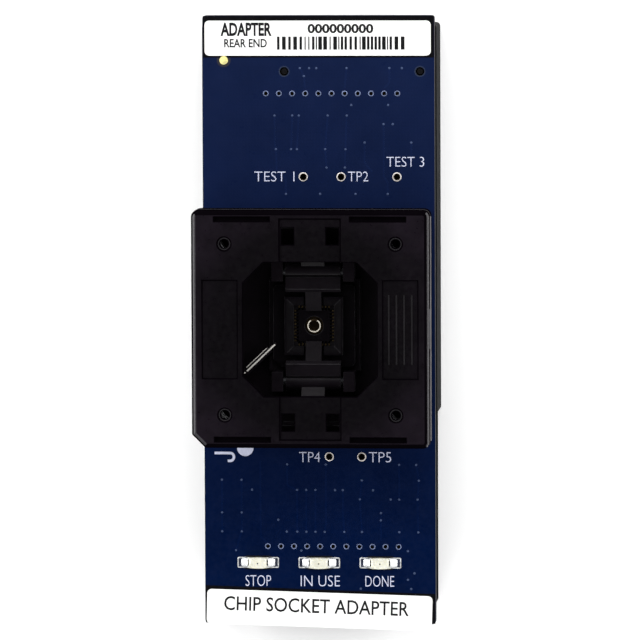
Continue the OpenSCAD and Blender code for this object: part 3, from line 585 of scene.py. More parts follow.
def dressed(
    node, radius, extra=(), face_slot=None, flat_levels=(), surface=None, segments=2, full_round=None
):
    """Puts a rounded, finished copy in the place of a CAD node. Edges at the flat levels stay sharp."""
    name = node + "_dressed"
    mesh = rounded(merged(node), radius, name, flat_levels, segments, full_round)
    if face_slot:
        for face in mesh.polygons:
            face.material_index = face_slot(face)
    slots = [face.material_index for face in mesh.polygons]
    smooth(mesh)
    slot = SLOT_OF[node]
    piece = piece_of(name, mesh, [surface or slot, *extra], BODY_OF[node])
    mesh.polygons.foreach_set("material_index", slots)
    even = piece.modifiers.new("even_normals", "WEIGHTED_NORMAL")
    even.keep_sharp = True
    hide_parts(node)
    return piece


def word_mesh(words, centre, width, height, turn=0.0, bold=0.0):
    """Words as a thin solid, fitted to a width and a height about a centre on a surface."""
    font = bpy.data.curves.new("words", "FONT")
    font.body = words
    font.align_x = "CENTER"
    font.align_y = "CENTER"
    font.offset = bold
    font.resolution_u = 3
    font.extrude = 0.5
    holder = linked_holder("words", font)
    mesh = evaluated_mesh(holder)
    bpy.data.objects.remove(holder)
    bpy.data.curves.remove(font)
    low = Vector([min(v.co[i] for v in mesh.vertices) for i in range(3)])
    high = Vector([max(v.co[i] for v in mesh.vertices) for i in range(3)])
    size = high - low
    mesh.transform(Matrix.Translation(-(low + high) / 2))
    mesh.transform(Matrix.Diagonal((width / size.x, height / size.y, SKIN / size.z, 1.0)))
    raised = Matrix.Translation(centre + Vector((0.0, 0.0, SKIN / 2)))
    mesh.transform(raised @ Matrix.Rotation(turn, 4, "Z"))
    return mesh


def joined(name, meshes):
    """Several meshes as one."""
    work = bmesh.new()
    for mesh in meshes:
        work.from_mesh(mesh)
        bpy.data.meshes.remove(mesh)
    bmesh.ops.remove_doubles(work, verts=work.verts, dist=MADE_WELD)
    return mesh_from(work, name)


def points_mesh(name, points, edges=()):
    """Loose points, or points joined by edges."""
    mesh = bpy.data.meshes.new(name)
    mesh.from_pydata([tuple(p) for p in points], list(edges), [])
    return mesh


def lines_mesh(name, lines):
    """Open lines as chains of edges."""
    points, edges = [], []
    for line in lines:
        first = len(points)
        points.extend(line)
        edges.extend((first + i, first + i + 1) for i in range(len(line) - 1))
    return points_mesh(name, points, edges)


def at(x, y, z=TOP):
    """A point given by its place on the board in millimetres."""
    return Vector((x * MM, y * MM, z))


def middle_of(node):
    """The lowest corner, the middle and the highest corner of a CAD node's box."""
    low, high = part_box(node)
    return low, (low + high) / 2, high


def turned(centre, radius, turns):
    """Points at a list of angles round a centre."""
    return [centre + radius * Vector((math.cos(a), math.sin(a), 0.0)) for a in turns]


def ring(centre, radius, sides):
    """A line right round a centre, with its first point repeated at its end."""
    return turned(centre, radius, [math.tau * i / sides for i in range(sides + 1)])


# Geometry node trees

# Distance within which the two halves of a plate are welded
PLATE_WELD = 0.0001 * MM
# Steps round a rounded corner of a plate or a line
FILLET_STEPS = 4
# Steps in one turn of a spring, and the rise of a closed turn as a share of its wire
COIL_STEPS = 28
CLOSED_RISE = 1.08


class Growth:
    """One geometry node tree with named inputs."""

    KINDS = {float: "NodeSocketFloat", int: "NodeSocketInt", bpy.types.Material: "NodeSocketMaterial"}

    def __init__(self, name, surface, **inputs):
        self.tree = bpy.data.node_groups.new(name, "GeometryNodeTree")
        self.name = name
        self.values = {**inputs, "Material": finish(surface)}
        face = self.tree.interface
        face.new_socket("Geometry", in_out="INPUT", socket_type="NodeSocketGeometry")
        face.new_socket("Geometry", in_out="OUTPUT", socket_type="NodeSocketGeometry")
        for label, value in self.values.items():
            face.new_socket(label, in_out="INPUT", socket_type=self.KINDS[type(value)])
        self.entry = self.tree.nodes.new("NodeGroupInput")
        self.exit = self.tree.nodes.new("NodeGroupOutput")

    def __getitem__(self, label):
        return self.entry.outputs[label]

    def add(self, kind, inputs, output=0, **settings):
        made = self.tree.nodes.new(kind)
        for label, value in settings.items():
            setattr(made, label, value)
        for label, value in inputs.items():
            if isinstance(value, bpy.types.NodeSocket):
                self.tree.links.new(value, made.inputs[label])
            else:
                made.inputs[label].default_value = value
        return made.outputs[output]

    def math(self, operation, a, b=0.0):
        return self.add("ShaderNodeMath", {0: a, 1: b}, operation=operation)

    def xyz(self, x=0.0, y=0.0, z=0.0):
        return self.add("ShaderNodeCombineXYZ", {"X": x, "Y": y, "Z": z})

    def pick(self, most, seed):
        """A random whole number from 1 to the most."""
        inputs = {4: 1, 5: most, "Seed": seed}
        return self.add("FunctionNodeRandomValue", inputs, 2, data_type="INT")

    def join(self, first, second):
        made = self.tree.nodes.new("GeometryNodeJoinGeometry")
        self.tree.links.new(first, made.inputs[0])
        self.tree.links.new(second, made.inputs[0])
        return made.outputs[0]

    def oblong(self, width, height):
        inputs = {"Width": self[width], "Height": self[height]}
        return self.add("GeometryNodeCurvePrimitiveQuadrilateral", inputs)

    def fillet(self, curve, radius):
        inputs = {"Curve": curve, "Radius": self[radius], "Count": FILLET_STEPS}
        return self.add("GeometryNodeFilletCurve", inputs, mode="POLY")

    def row(self, count):
        """A number of points, all at the origin."""
        return self.add("GeometryNodeMeshLine", {"Count": self[count], "Offset": (0.0, 0.0, 0.0)})

    def moved(self, points, place):
        return self.add("GeometryNodeSetPosition", {"Geometry": points, "Position": place})

    def on_points(self, shape):
        inputs = {"Points": self["Geometry"], "Instance": shape}
        return self.add("GeometryNodeInstanceOnPoints", inputs)

    def swept(self, path, profile):
        """A closed bar along a path, with its profile kept upright."""
        upright_path = self.add("GeometryNodeSetCurveNormal", {"Curve": path}, mode="Z_UP")
        inputs = {"Curve": upright_path, "Profile Curve": profile, "Fill Caps": True}
        return self.add("GeometryNodeCurveToMesh", inputs)

    def plate(self, outline, thickness):
        """A closed plate of that thickness on a filled outline."""
        under = self.add("GeometryNodeFillCurve", {"Curve": outline}, mode="NGONS")
        inputs = {"Mesh": under, "Offset Scale": thickness, "Individual": False}
        over = self.add("GeometryNodeExtrudeMesh", inputs)
        both = self.join(over, self.add("GeometryNodeFlipFaces", {"Mesh": under}))
        return self.add("GeometryNodeMergeByDistance", {"Geometry": both, "Distance": PLATE_WELD})

    def grown(self, result, mesh):
        """The plain mesh of a tree's result, from the mesh that it starts on."""
        realized = self.add("GeometryNodeRealizeInstances", {"Geometry": result})
        inputs = {"Geometry": realized, "Material": self["Material"]}
        self.tree.links.new(self.add("GeometryNodeSetMaterial", inputs), self.exit.inputs[0])
        holder = linked_holder(self.name + "_holder", mesh)
        modifier = holder.modifiers.new("growth", "NODES")
        modifier.node_group = self.tree
        for socket in self.tree.interface.items_tree:
            if socket.in_out == "INPUT" and socket.name in self.values:
                modifier[socket.identifier] = self.values[socket.name]
        made = evaluated_mesh(holder)
        holder.modifiers.remove(modifier)
        bpy.data.objects.remove(holder)
        made.name = self.name
        return made


def discs(name, surface, points, radius, height, top_share=0.7, sides=14):
    """Low rounded discs on a list of points."""
    tree = Growth(name, surface, Radius=radius, Top=radius * top_share, Height=height, Sides=sides)
    inputs = {"Radius Top": tree["Top"], "Radius Bottom": tree["Radius"], "Depth": tree["Height"]}
    shape = tree.add("GeometryNodeMeshCone", {"Vertices": tree["Sides"], **inputs})
    return tree.grown(tree.on_points(shape), points_mesh(name, points))


def plates(name, surface, points, width, depth, thickness, corner):
    """Rounded plates on a list of points."""
    tree = Growth(name, surface, Width=width, Depth=depth, Thickness=thickness, Corner=corner)
    shape = tree.plate(tree.fillet(tree.oblong("Width", "Depth"), "Corner"), tree["Thickness"])
    return tree.grown(tree.on_points(shape), points_mesh(name, points))


def ribbons(name, surface, lines, width, thickness, bend):
    """Flat ribbons along lines, with rounded bends."""
    tree = Growth(name, surface, Width=width, Thickness=thickness, Bend=bend)
    path = tree.add("GeometryNodeMeshToCurve", {"Mesh": tree["Geometry"]})
    result = tree.swept(tree.fillet(path, "Bend"), tree.oblong("Width", "Thickness"))
    mesh = tree.grown(result, lines_mesh(name, lines))
    mesh.polygons.foreach_set("use_smooth", [False] * len(mesh.polygons))
    return mesh


def bars(name, surface, start, count, unit, height, seed):
    """A row of thin upright bars of one to three units, with gaps of one or two."""
    tree = Growth(name, surface, Count=count, Unit=unit, Height=height, Thickness=SKIN, Seed=seed)
    wide = tree.pick(3, tree["Seed"])
    gap = tree.pick(2, tree.math("ADD", tree["Seed"], 1.0))
    step = tree.math("ADD", wide, gap)
    before = tree.add("GeometryNodeAccumulateField", {0: step}, 1, data_type="FLOAT")
    middle = tree.math("ADD", before, tree.math("MULTIPLY", wide, 0.5))
    along = tree.math("MULTIPLY", middle, tree["Unit"])
    size = tree.xyz(tree["Unit"], tree["Height"], tree["Thickness"])
    block = tree.add("GeometryNodeMeshCube", {"Size": size})
    inputs = {"Instance": block, "Scale": tree.xyz(wide, 1.0, 1.0)}
    inputs["Points"] = tree.moved(tree.row("Count"), tree.xyz(along))
    mesh = tree.grown(tree.add("GeometryNodeInstanceOnPoints", inputs), points_mesh(name, [start]))
    mesh.transform(Matrix.Translation(start))
    return mesh


def coils(name, surface, feet, coil_length, diameter, wire, turns):
    """Compression springs with closed ends, standing on a list of points."""
    tight = wire * CLOSED_RISE
    loose = (coil_length - wire - 2.0 * tight) / (turns - 2)
    tree = Growth(
        name, surface, Points=turns * COIL_STEPS + 1, Step=math.tau / COIL_STEPS, Tight=tight, Loose=loose,
        Radius=(diameter - wire) / 2, Open=float(turns - 2), Wire=wire / 2, Sides=look("socket").spring_sides,
    )
    bend = tree.math("MULTIPLY", tree.add("GeometryNodeInputIndex", {}), tree["Step"])
    turn = tree.math("DIVIDE", bend, math.tau)
    first = tree.math("MINIMUM", turn, 1.0)
    past_first = tree.math("MAXIMUM", tree.math("SUBTRACT", turn, 1.0), 0.0)
    middle = tree.math("MINIMUM", past_first, tree["Open"])
    last = tree.math("SUBTRACT", turn, tree.math("ADD", first, middle))
    closed = tree.math("MULTIPLY", tree.math("ADD", first, last), tree["Tight"])
    rise = tree.math("ADD", closed, tree.math("MULTIPLY", middle, tree["Loose"]))
    spot = tree.xyz(
        tree.math("MULTIPLY", tree.math("COSINE", bend), tree["Radius"]),
        tree.math("MULTIPLY", tree.math("SINE", bend), tree["Radius"]),
        tree.math("ADD", rise, tree["Wire"]),
    )
    path = tree.add("GeometryNodeMeshToCurve", {"Mesh": tree.moved(tree.row("Points"), spot)})
    inputs = {"Resolution": tree["Sides"], "Radius": tree["Wire"]}
    section = tree.add("GeometryNodeCurvePrimitiveCircle", inputs, mode="RADIUS")
    mesh = tree.grown(tree.on_points(tree.swept(path, section)), points_mesh(name, feet))
    smooth(mesh, WIRE_ANGLE)
    return mesh


def grown_piece(maker, name, surface, slot, *sizes, body=FIXED):
    """A piece of one finish that one of the trees grows."""
    return piece_of(name, maker(name, surface, *sizes), [surface], body)


# Circuit board

# Covered vias: each row is its place along the board, and the places across it
VIA_ROWS = {
    38.4: (-2.8, -1.4, -0.3, 4.3, 10.8, 12.7),
    37.2: (-2.2,),
    32.8: (5.0, 10.6),
    31.2: (-6.7, -4.0, -3.0, 1.4, 4.3),
    29.9: (9.9, 11.3),
    27.1: (7.0, 14.1),
    26.1: (-6.5, -4.2, -3.3, 1.0, 4.1),
    23.3: (1.2, 4.0),
    19.3: (-5.0, 0.2, 5.6, 10.5),
    -22.0: (-5.0, 0.9, 12.1, 14.7),
    -24.4: (-15.0, -12.0, 6.4, 15.1),
    -25.9: (-10.4, -3.5, -2.1, -0.7, 2.3, 3.5, 8.1),
    -27.3: (6.1, 10.8, 12.1, 14.9),
    -29.4: (-15.0, -12.0, 9.3),
    -30.5: (-6.4, 9.3),
    -32.3: (-15.0, -12.0, -5.1, -3.5, -2.1, -0.7, 0.7, 3.7, 6.4, 12.1, 15.0),
    -35.2: (-12.9, -2.9, 13.4),
    -38.6: (14.4,),
    -39.6: (13.4,),
    -41.0: (6.2, 13.9),
}
VIA_HEIGHT = 0.03 * MM
# Copper traces under the mask, as lines of places on the board
TRACES = [
    [(-9.1, -21.5), (-9.1, -33.1), (-8.0, -34.2)],
    [(-5.0, -22.0), (-5.0, -25.2), (-3.5, -25.9)],
    [(-3.5, -25.9), (-3.5, -32.3)],
    [(-2.1, -25.9), (-2.1, -32.3)],
    [(-0.7, -25.9), (-0.7, -32.3)],
    [(0.9, -22.0), (0.9, -31.0), (0.7, -32.3)],
    [(3.5, -25.9), (3.5, -30.0), (3.7, -32.3)],
    [(6.4, -24.4), (6.1, -27.3), (6.4, -32.3)],
    [(12.1, -22.0), (12.1, -27.3)],
    [(14.7, -22.0), (15.1, -24.4), (14.9, -27.3), (15.0, -32.3)],
    [(-15.0, -24.4), (-15.0, -32.3)],
    [(-12.0, -24.4), (-12.0, -32.3), (-12.9, -35.2)],
    [(9.3, -29.4), (9.3, -33.5), (8.0, -34.4)],
    [(-6.7, 31.2), (-6.7, 27.0), (-6.5, 26.1)],
    [(-4.0, 31.2), (-4.2, 26.1)],
    [(-3.0, 31.2), (-3.3, 26.1)],
    [(1.4, 31.2), (1.0, 26.1), (1.2, 23.3)],
    [(4.3, 31.2), (4.1, 26.1), (4.0, 23.3)],
    [(7.0, 27.1), (7.0, 24.0), (8.2, 22.6)],
    [(14.1, 27.1), (14.1, 24.6)],
    [(-2.8, 38.4), (-2.2, 37.2), (-2.0, 35.4)],
    [(4.3, 38.4), (4.0, 35.4)],
    [(10.8, 38.4), (10.8, 36.2), (10.0, 35.3)],
    [(-5.0, 19.3), (-5.0, 21.6), (-6.4, 23.0), (-6.5, 26.1)],
    [(10.5, 19.3), (10.5, 21.0), (9.9, 22.0), (9.9, 29.9)],
]
TRACE_BEND = 0.5 * MM
# Words at the test points: text, place across, place along, width, height
TEST_WORDS = [
    ("TEST 1", -6.75, 21.95, 6.1, 1.5),
    ("TP2", 6.0, 21.95, 3.1, 1.5),
    ("TEST 3", 13.2, 24.2, 5.7, 1.5),
    ("TP4", -1.55, -20.85, 3.2, 1.55),
    ("TP5", 9.2, -20.85, 3.4, 1.55),
]
# Lamp words: place across, place along, width, height
LAMP_WORDS = [(-9.5, -39.85, 3.9, 1.66), (0.0, -39.85, 6.0, 1.66), (9.1, -39.85, 4.4, 1.66)]
# Change in the strokes of the board's words
LEGEND_BOLD = -0.012
# The dot that the socket half hides, and the bracket at the socket's corner
DOT_PLACE = (-11.4, -19.5)
DOT_RADIUS = 1.26 * MM
BRACKET = [(-16.1, -20.3), (-13.15, -20.3), (-13.15, -21.5), (-14.1, -21.5)]
BRACKET_BEND = 0.55 * MM
# Sides of the broad discs, and their top radius as a share of their bottom radius
DISC_SIDES = 40
DOT_TOP = 0.99
CLEARING_TOP = 0.96
# The bare spot round the gold mark
CLEARING_RADIUS = 1.05 * MM
CLEARING_HEIGHT = 0.012 * MM
# Places of the test points across the board, the radius of their rings, and the dark ring of painted shade
# inside each ring, which stands for a wider bore
REAR_TEST_POINTS = (-2.35, 3.4, 11.9)
FRONT_TEST_POINTS = (1.45, 6.4)
TEST_RING = 0.69 * MM
BORE_SHADE_RADIUS = 0.46 * MM
BORE_SHADE_WIDTH = 0.13 * MM
# The two locating holes, and the rims round them
LOCATING_HOLES = [(-5.2, 37.9), (15.45, 37.9)]
RIM_RADIUS = 0.755 * MM
RIM_WIDTH = 0.17 * MM
RIM_BEND = 0.01 * MM
SMALL_RING_SIDES = 32
# Finish of each plated piece, and the rounding of edges: of plating, of the board and of its small parts
PLATED = {"header_barrels": "plating", "test_point_barrels": "ring_plating", "fiducial_pad": "bright_gold"}
PLATED_EDGE = 0.015 * MM
BOARD_EDGE = 0.05 * MM
SMALL_PARTS = ("memory_chip", "capacitor_bodies", "capacitor_ends", "resistor_bodies", "resistor_ends")
LEAD_EDGE = 0.02 * MM
# A face is upright when its normal rises less than this
UPRIGHT = 0.6


def upright(face):
    """1 for an upright face, and 0 for the others."""
    return int(abs(face.normal.z) < UPRIGHT)


class ADAPTER_OT_board(bpy.types.Operator):
    """Dress the circuit board, its plated holes and its printing"""

    bl_idname = "adapter.board"
    bl_label = "Board"

    def execute(self, context):
        settings = look("board")
        dressed("main_board", BOARD_EDGE, ["laminate"], upright)
        for node, surface in PLATED.items():
            # Upright walls of the barrels take the dark finish, which paints the shade in their bores
            dressed(node, PLATED_EDGE, ["bronze"], upright, surface=surface)
        spots = [at(x, y) for y, row in VIA_ROWS.items() for x in row]
        vias = grown_piece(discs, "covered_vias", "via", "board", spots, settings.via_radius, VIA_HEIGHT)
        smooth(vias.data, SOFT_ANGLE)
        lines = [[at(x, y) for x, y in line] for line in TRACES]
        sizes = (settings.trace_width, SKIN, TRACE_BEND)
        grown_piece(ribbons, "copper_traces", "over_copper", "board", lines, *sizes)
        self.recesses()
        self.clear_spots()
        self.legend(settings)
        for node in SMALL_PARTS:
            dressed(node, BOARD_EDGE)
        dressed("memory_leads", LEAD_EDGE)
        return {"FINISHED"}

    def recesses(self):
        """Dark rings of painted shade inside the test rings, standing in for wider bores."""
        low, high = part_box("test_point_barrels")
        rows = ((high.y - TEST_RING, REAR_TEST_POINTS), (low.y + TEST_RING, FRONT_TEST_POINTS))
        centres = [Vector((x * MM, y, high.z)) for y, row in rows for x in row]
        rings = [ring(centre, BORE_SHADE_RADIUS, SMALL_RING_SIDES) for centre in centres]
        sizes = (BORE_SHADE_WIDTH, SKIN, HARD_BEND)
        grown_piece(ribbons, "test_ring_recesses", "bronze", "tin", rings, *sizes)

    def clear_spots(self):
        """Bare laminate round the gold mark, and the rims of the two locating holes."""
        middle = middle_of("fiducial_pad")[1]
        spots = [Vector((middle.x, middle.y, TOP))]
        sizes = (CLEARING_RADIUS, CLEARING_HEIGHT, CLEARING_TOP, DISC_SIDES)
        grown_piece(discs, "mark_clearing", "mark_clearing", "board", spots, *sizes)
        rims = [ring(at(x, y), RIM_RADIUS, SMALL_RING_SIDES) for x, y in LOCATING_HOLES]
        grown_piece(ribbons, "hole_rims", "rim_mask", "board", rims, RIM_WIDTH, SKIN, RIM_BEND)

    def legend(self, settings):
        """White words, the half-hidden dot and the corner bracket."""
        lamp_words = look("lamp").words.split(",")
        lines = TEST_WORDS + [(words, *place) for words, place in zip(lamp_words, LAMP_WORDS)]
        marks = [word_mesh(t, at(x, y), w * MM, h * MM, bold=LEGEND_BOLD) for t, x, y, w, h in lines]
        marks.append(discs("dot", "legend", [at(*DOT_PLACE)], DOT_RADIUS, SKIN, DOT_TOP, DISC_SIDES))
        bracket = [[at(x, y) for x, y in BRACKET]]
        marks.append(ribbons("bracket", "legend", bracket, settings.legend_stroke, SKIN, BRACKET_BEND))
        piece_of("board_legend", joined("board_legend", marks), ["legend"])


# Labels

# Printing stands just clear of the paper's waves
INK_LIFT = 0.015 * MM
# Corner radius of the labels, and their faces: along them, across them and round their corners
LABEL_CORNER = 0.7 * MM
LABEL_COLUMNS = 72
LABEL_ROWS = 12
CORNER_STEPS = 6
# Height of the paper's waves, and their lengths along and across it
WAVE_HEIGHT = 0.012 * MM
WAVE_ALONG = 2.3 * MM
WAVE_ACROSS = 1.4 * MM
# Shares of the half width and of the half depth where the corners start to lift and an edge starts to droop
LIFT_ALONG = 0.9
LIFT_ACROSS = 0.45
DROOP_ACROSS = 0.7
# Share of a label's thickness that the paper takes
PAPER_SHARE = 0.95
# Size, turn and droop of the front label, and its words: place, size and change in their strokes
FRONT_WIDTH = 34.5 * MM
FRONT_DEPTH = 5.35 * MM
FRONT_TURN = math.radians(-1.6)
FRONT_DROOP = 0.1 * MM
FRONT_WORDS_PLACE = (-0.6, -43.7)
FRONT_WORDS_SIZE = (28.3 * MM, 2.2 * MM)
FRONT_WORDS_BOLD = 0.008
# Words on the rear label: setting, place across, place along, width, height, change in the strokes
REAR_WORDS = [
    ("rear_word", -10.95, 44.3, 7.8, 2.05, 0.036),
    ("rear_note", -11.05, 42.2, 6.5, 1.3, 0.02),
    ("rear_digits", 3.4, 44.4, 10.0, 1.45, 0.032),
]
# The bars: place of their left end, width of the thinnest bar and height
BARS_PLACE = (-6.25, 42.2)
BAR_UNIT = 0.19 * MM
BAR_HEIGHT = 2.0 * MM
# Black film under each label, which shows as a dark border
LABEL_DARK_BORDERS = {
    "rear_label_backing": [(-17.58, 40.0), (17.58, 40.0), (17.58, 46.33), (-17.58, 46.33)],
    "front_label_backing": [(-17.58, -46.33), (17.58, -46.33), (17.58, -41.75), (-17.58, -40.6)],
}


def past(share, start):
    """How far a share is past its start: 0 up to there, and 1 where the share is 1."""
    return max(0.0, share - start) / (1.0 - start)


def label_sheet(name, node, width, depth, turn, droop):
    """A paper label with round corners that lift a little, in the place of its solid."""
    lift = look("label").lift
    low, middle, high = middle_of(node)
    thickness = high.z - low.z
    straight = depth / 2 - LABEL_CORNER
    bends = [math.sin(math.pi / 2 * i / CORNER_STEPS) for i in range(1, CORNER_STEPS + 1)]
    places = [-straight - LABEL_CORNER * bend for bend in reversed(bends)]
    places += [straight * (2.0 * j / LABEL_ROWS - 1.0) for j in range(LABEL_ROWS + 1)]
    places += [straight + LABEL_CORNER * bend for bend in bends]
    work = bmesh.new()
    grid = []
    for y in places:
        bent = max(0.0, abs(y) - straight)
        half = width / 2 - LABEL_CORNER + math.sqrt(max(0.0, LABEL_CORNER**2 - bent**2))
        sag = droop * past(-y / (depth / 2), DROOP_ACROSS)
        row = []
        for i in range(LABEL_COLUMNS + 1):
            x = 2.0 * half * (i / LABEL_COLUMNS - 0.5)
            corner = past(abs(x) / (width / 2), LIFT_ALONG) * past(abs(y) / (depth / 2), LIFT_ACROSS)
            wave = WAVE_HEIGHT * math.sin(x / WAVE_ALONG) * math.cos(y / WAVE_ACROSS)
            row.append(work.verts.new((x, y, thickness + lift * corner**2 + abs(wave) - sag)))
        grid.append(row)
    for first, second in zip(grid, grid[1:]):
        for i in range(LABEL_COLUMNS):
            work.faces.new((first[i], first[i + 1], second[i + 1], second[i]))
    mesh = mesh_from(work, name)
    mesh.transform(Matrix.Translation((middle.x, middle.y, low.z)) @ Matrix.Rotation(turn, 4, "Z"))
    smooth(mesh, SOFT_ANGLE)
    piece = piece_of(name, mesh, ["label_paper"])
    wall = piece.modifiers.new("paper_thickness", "SOLIDIFY")
    wall.thickness = thickness * PAPER_SHARE
    wall.offset = -1.0
    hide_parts(node)
    return low.z + thickness


def film(name, corners, low, thickness):
    """A thin sheet over an outline given in millimetres."""
    work = bmesh.new()
    face = work.faces.new([work.verts.new((x * MM, y * MM, low)) for x, y in corners])
    made = bmesh.ops.extrude_face_region(work, geom=[face])
    top = [item for item in made["geom"] if isinstance(item, bmesh.types.BMVert)]
    bmesh.ops.translate(work, verts=top, vec=(0.0, 0.0, thickness))
    bmesh.ops.recalc_face_normals(work, faces=work.faces)
    return mesh_from(work, name)


class ADAPTER_OT_labels(bpy.types.Operator):
    """Make the two paper labels and their printing"""

    bl_idname = "adapter.labels"
    bl_label = "Labels"

    def execute(self, context):
        settings = look("label")
        for name, corners in LABEL_DARK_BORDERS.items():
            piece_of(name, film(name, corners, TOP, SKIN), ["label_film"])
        low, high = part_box("rear_label")
        top = label_sheet("rear_label_paper", "rear_label", high.x - low.x, high.y - low.y, 0.0, 0.0)
        ink_z = top + INK_LIFT
        prints = [
            word_mesh(getattr(settings, words), at(x, y, ink_z), width * MM, height * MM, bold=bold)
            for words, x, y, width, height, bold in REAR_WORDS
        ]
        row = (settings.bar_count, BAR_UNIT, BAR_HEIGHT, settings.bar_seed)
        prints.append(bars("bars", "ink", at(*BARS_PLACE, ink_z), *row))
        piece_of("rear_label_print", joined("rear_label_print", prints), ["ink"])
        sizes = (FRONT_WIDTH, FRONT_DEPTH, FRONT_TURN, FRONT_DROOP)
        ink_z = label_sheet("front_label_paper", "front_label", *sizes) + INK_LIFT
        spot = at(*FRONT_WORDS_PLACE, ink_z)
        words = word_mesh(
            settings.front_words, spot, *FRONT_WORDS_SIZE, turn=FRONT_TURN, bold=FRONT_WORDS_BOLD
        )
        piece_of("front_label_print", joined("front_label_print", [words]), ["ink"])
        return {"FINISHED"}


# Lamps

LAMP_LENGTH = 3.2 * MM
LAMP_EDGE = 0.05 * MM
# Steps across an arched profile, along a lens and along a solder wedge
ARCH_STEPS = 12
LENS_STEPS = 16
SOLDER_STEPS = 7
# Solder pads: height, corner radius, length under the lamp, and width and bend of their bright rims
PAD_HEIGHT = 0.035 * MM
PAD_CORNER = 0.12 * MM
PAD_UNDER = 0.2 * MM
PAD_RIM = 0.18 * MM
PAD_BEND = 0.15 * MM
# Painted shadow round each lamp, a black plate under it: length, width, thickness and corner radius
LAMP_SHADOW_SIZE = (4.4 * MM, 2.1 * MM, SKIN, 0.5 * MM)
# The crowned lens: share of its solid's length, bulge of its sides, fall at its ends, and squareness
LENS_SHARE = 0.9
LENS_BULGE = 0.1
LENS_FALL = 0.3
LENS_POWER = 0.4
# The solder wedge: length, overlap with the lamp, foot above the board and least height
SOLDER_REACH = 1.0 * MM
SOLDER_OVERLAP = 0.02 * MM
SOLDER_FOOT = 0.03 * MM
SOLDER_LEAST = 0.04 * MM
# Shape of the wedge: share of the lamp's width, taper, share of its height, fall, belly and squareness
SOLDER_HALF = 0.52
SOLDER_TAPER = 0.4
SOLDER_HEIGHT = 1.05
SOLDER_FALL = 1.2
SOLDER_BELLY = 0.5
SOLDER_POWER = 0.6
# Half rings at the lamp ends: distance from the middle, lift, depth, half width, stroke, bend and steps
MARK_PLACE = 1.64 * MM
MARK_LIFT = 0.02 * MM
MARK_DEPTH = 0.24 * MM
MARK_HALF = 0.42 * MM
MARK_STROKE = 0.15 * MM
MARK_BEND = 0.02 * MM
MARK_STEPS = 10
# The die in each lens: radius, height and shift toward the front
DIE_RADIUS = 0.11 * MM
DIE_HEIGHT = 0.01 * MM
DIE_SHIFT = 0.05 * MM


def arch(x, y, z, half, height, power):
    """An arched profile across the board at one place, square-shouldered when the power is small."""
    turns = [math.pi * j / ARCH_STEPS for j in range(ARCH_STEPS + 1)]
    profile = []
    for a in turns:
        across = math.copysign(abs(math.cos(a)) ** power, -math.cos(a))
        profile.append((x, y + half * across, z + height * math.sin(a) ** power))
    return profile


def loft(work, profiles):
    """A closed form through open profiles that stand on a surface."""
    rows = [[work.verts.new(point) for point in profile] for profile in profiles]
    last = len(rows[0]) - 1
    for first, second in zip(rows, rows[1:]):
        for j in range(last):
            work.faces.new((first[j], first[j + 1], second[j + 1], second[j]))
    work.faces.new(rows[0])
    work.faces.new(rows[-1])
    work.faces.new([row[0] for row in rows] + [row[last] for row in reversed(rows)])


def lofted_piece(name, forms, slot, node):
    """A piece of several lofted forms, in the place of a CAD node."""
    work = bmesh.new()
    for profiles in forms:
        loft(work, profiles)
    bmesh.ops.remove_doubles(work, verts=work.verts, dist=MADE_WELD)
    bmesh.ops.recalc_face_normals(work, faces=work.faces)
    mesh = mesh_from(work, name)
    smooth(mesh, SOFT_ANGLE)
    piece = piece_of(name, mesh, [slot])
    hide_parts(node)


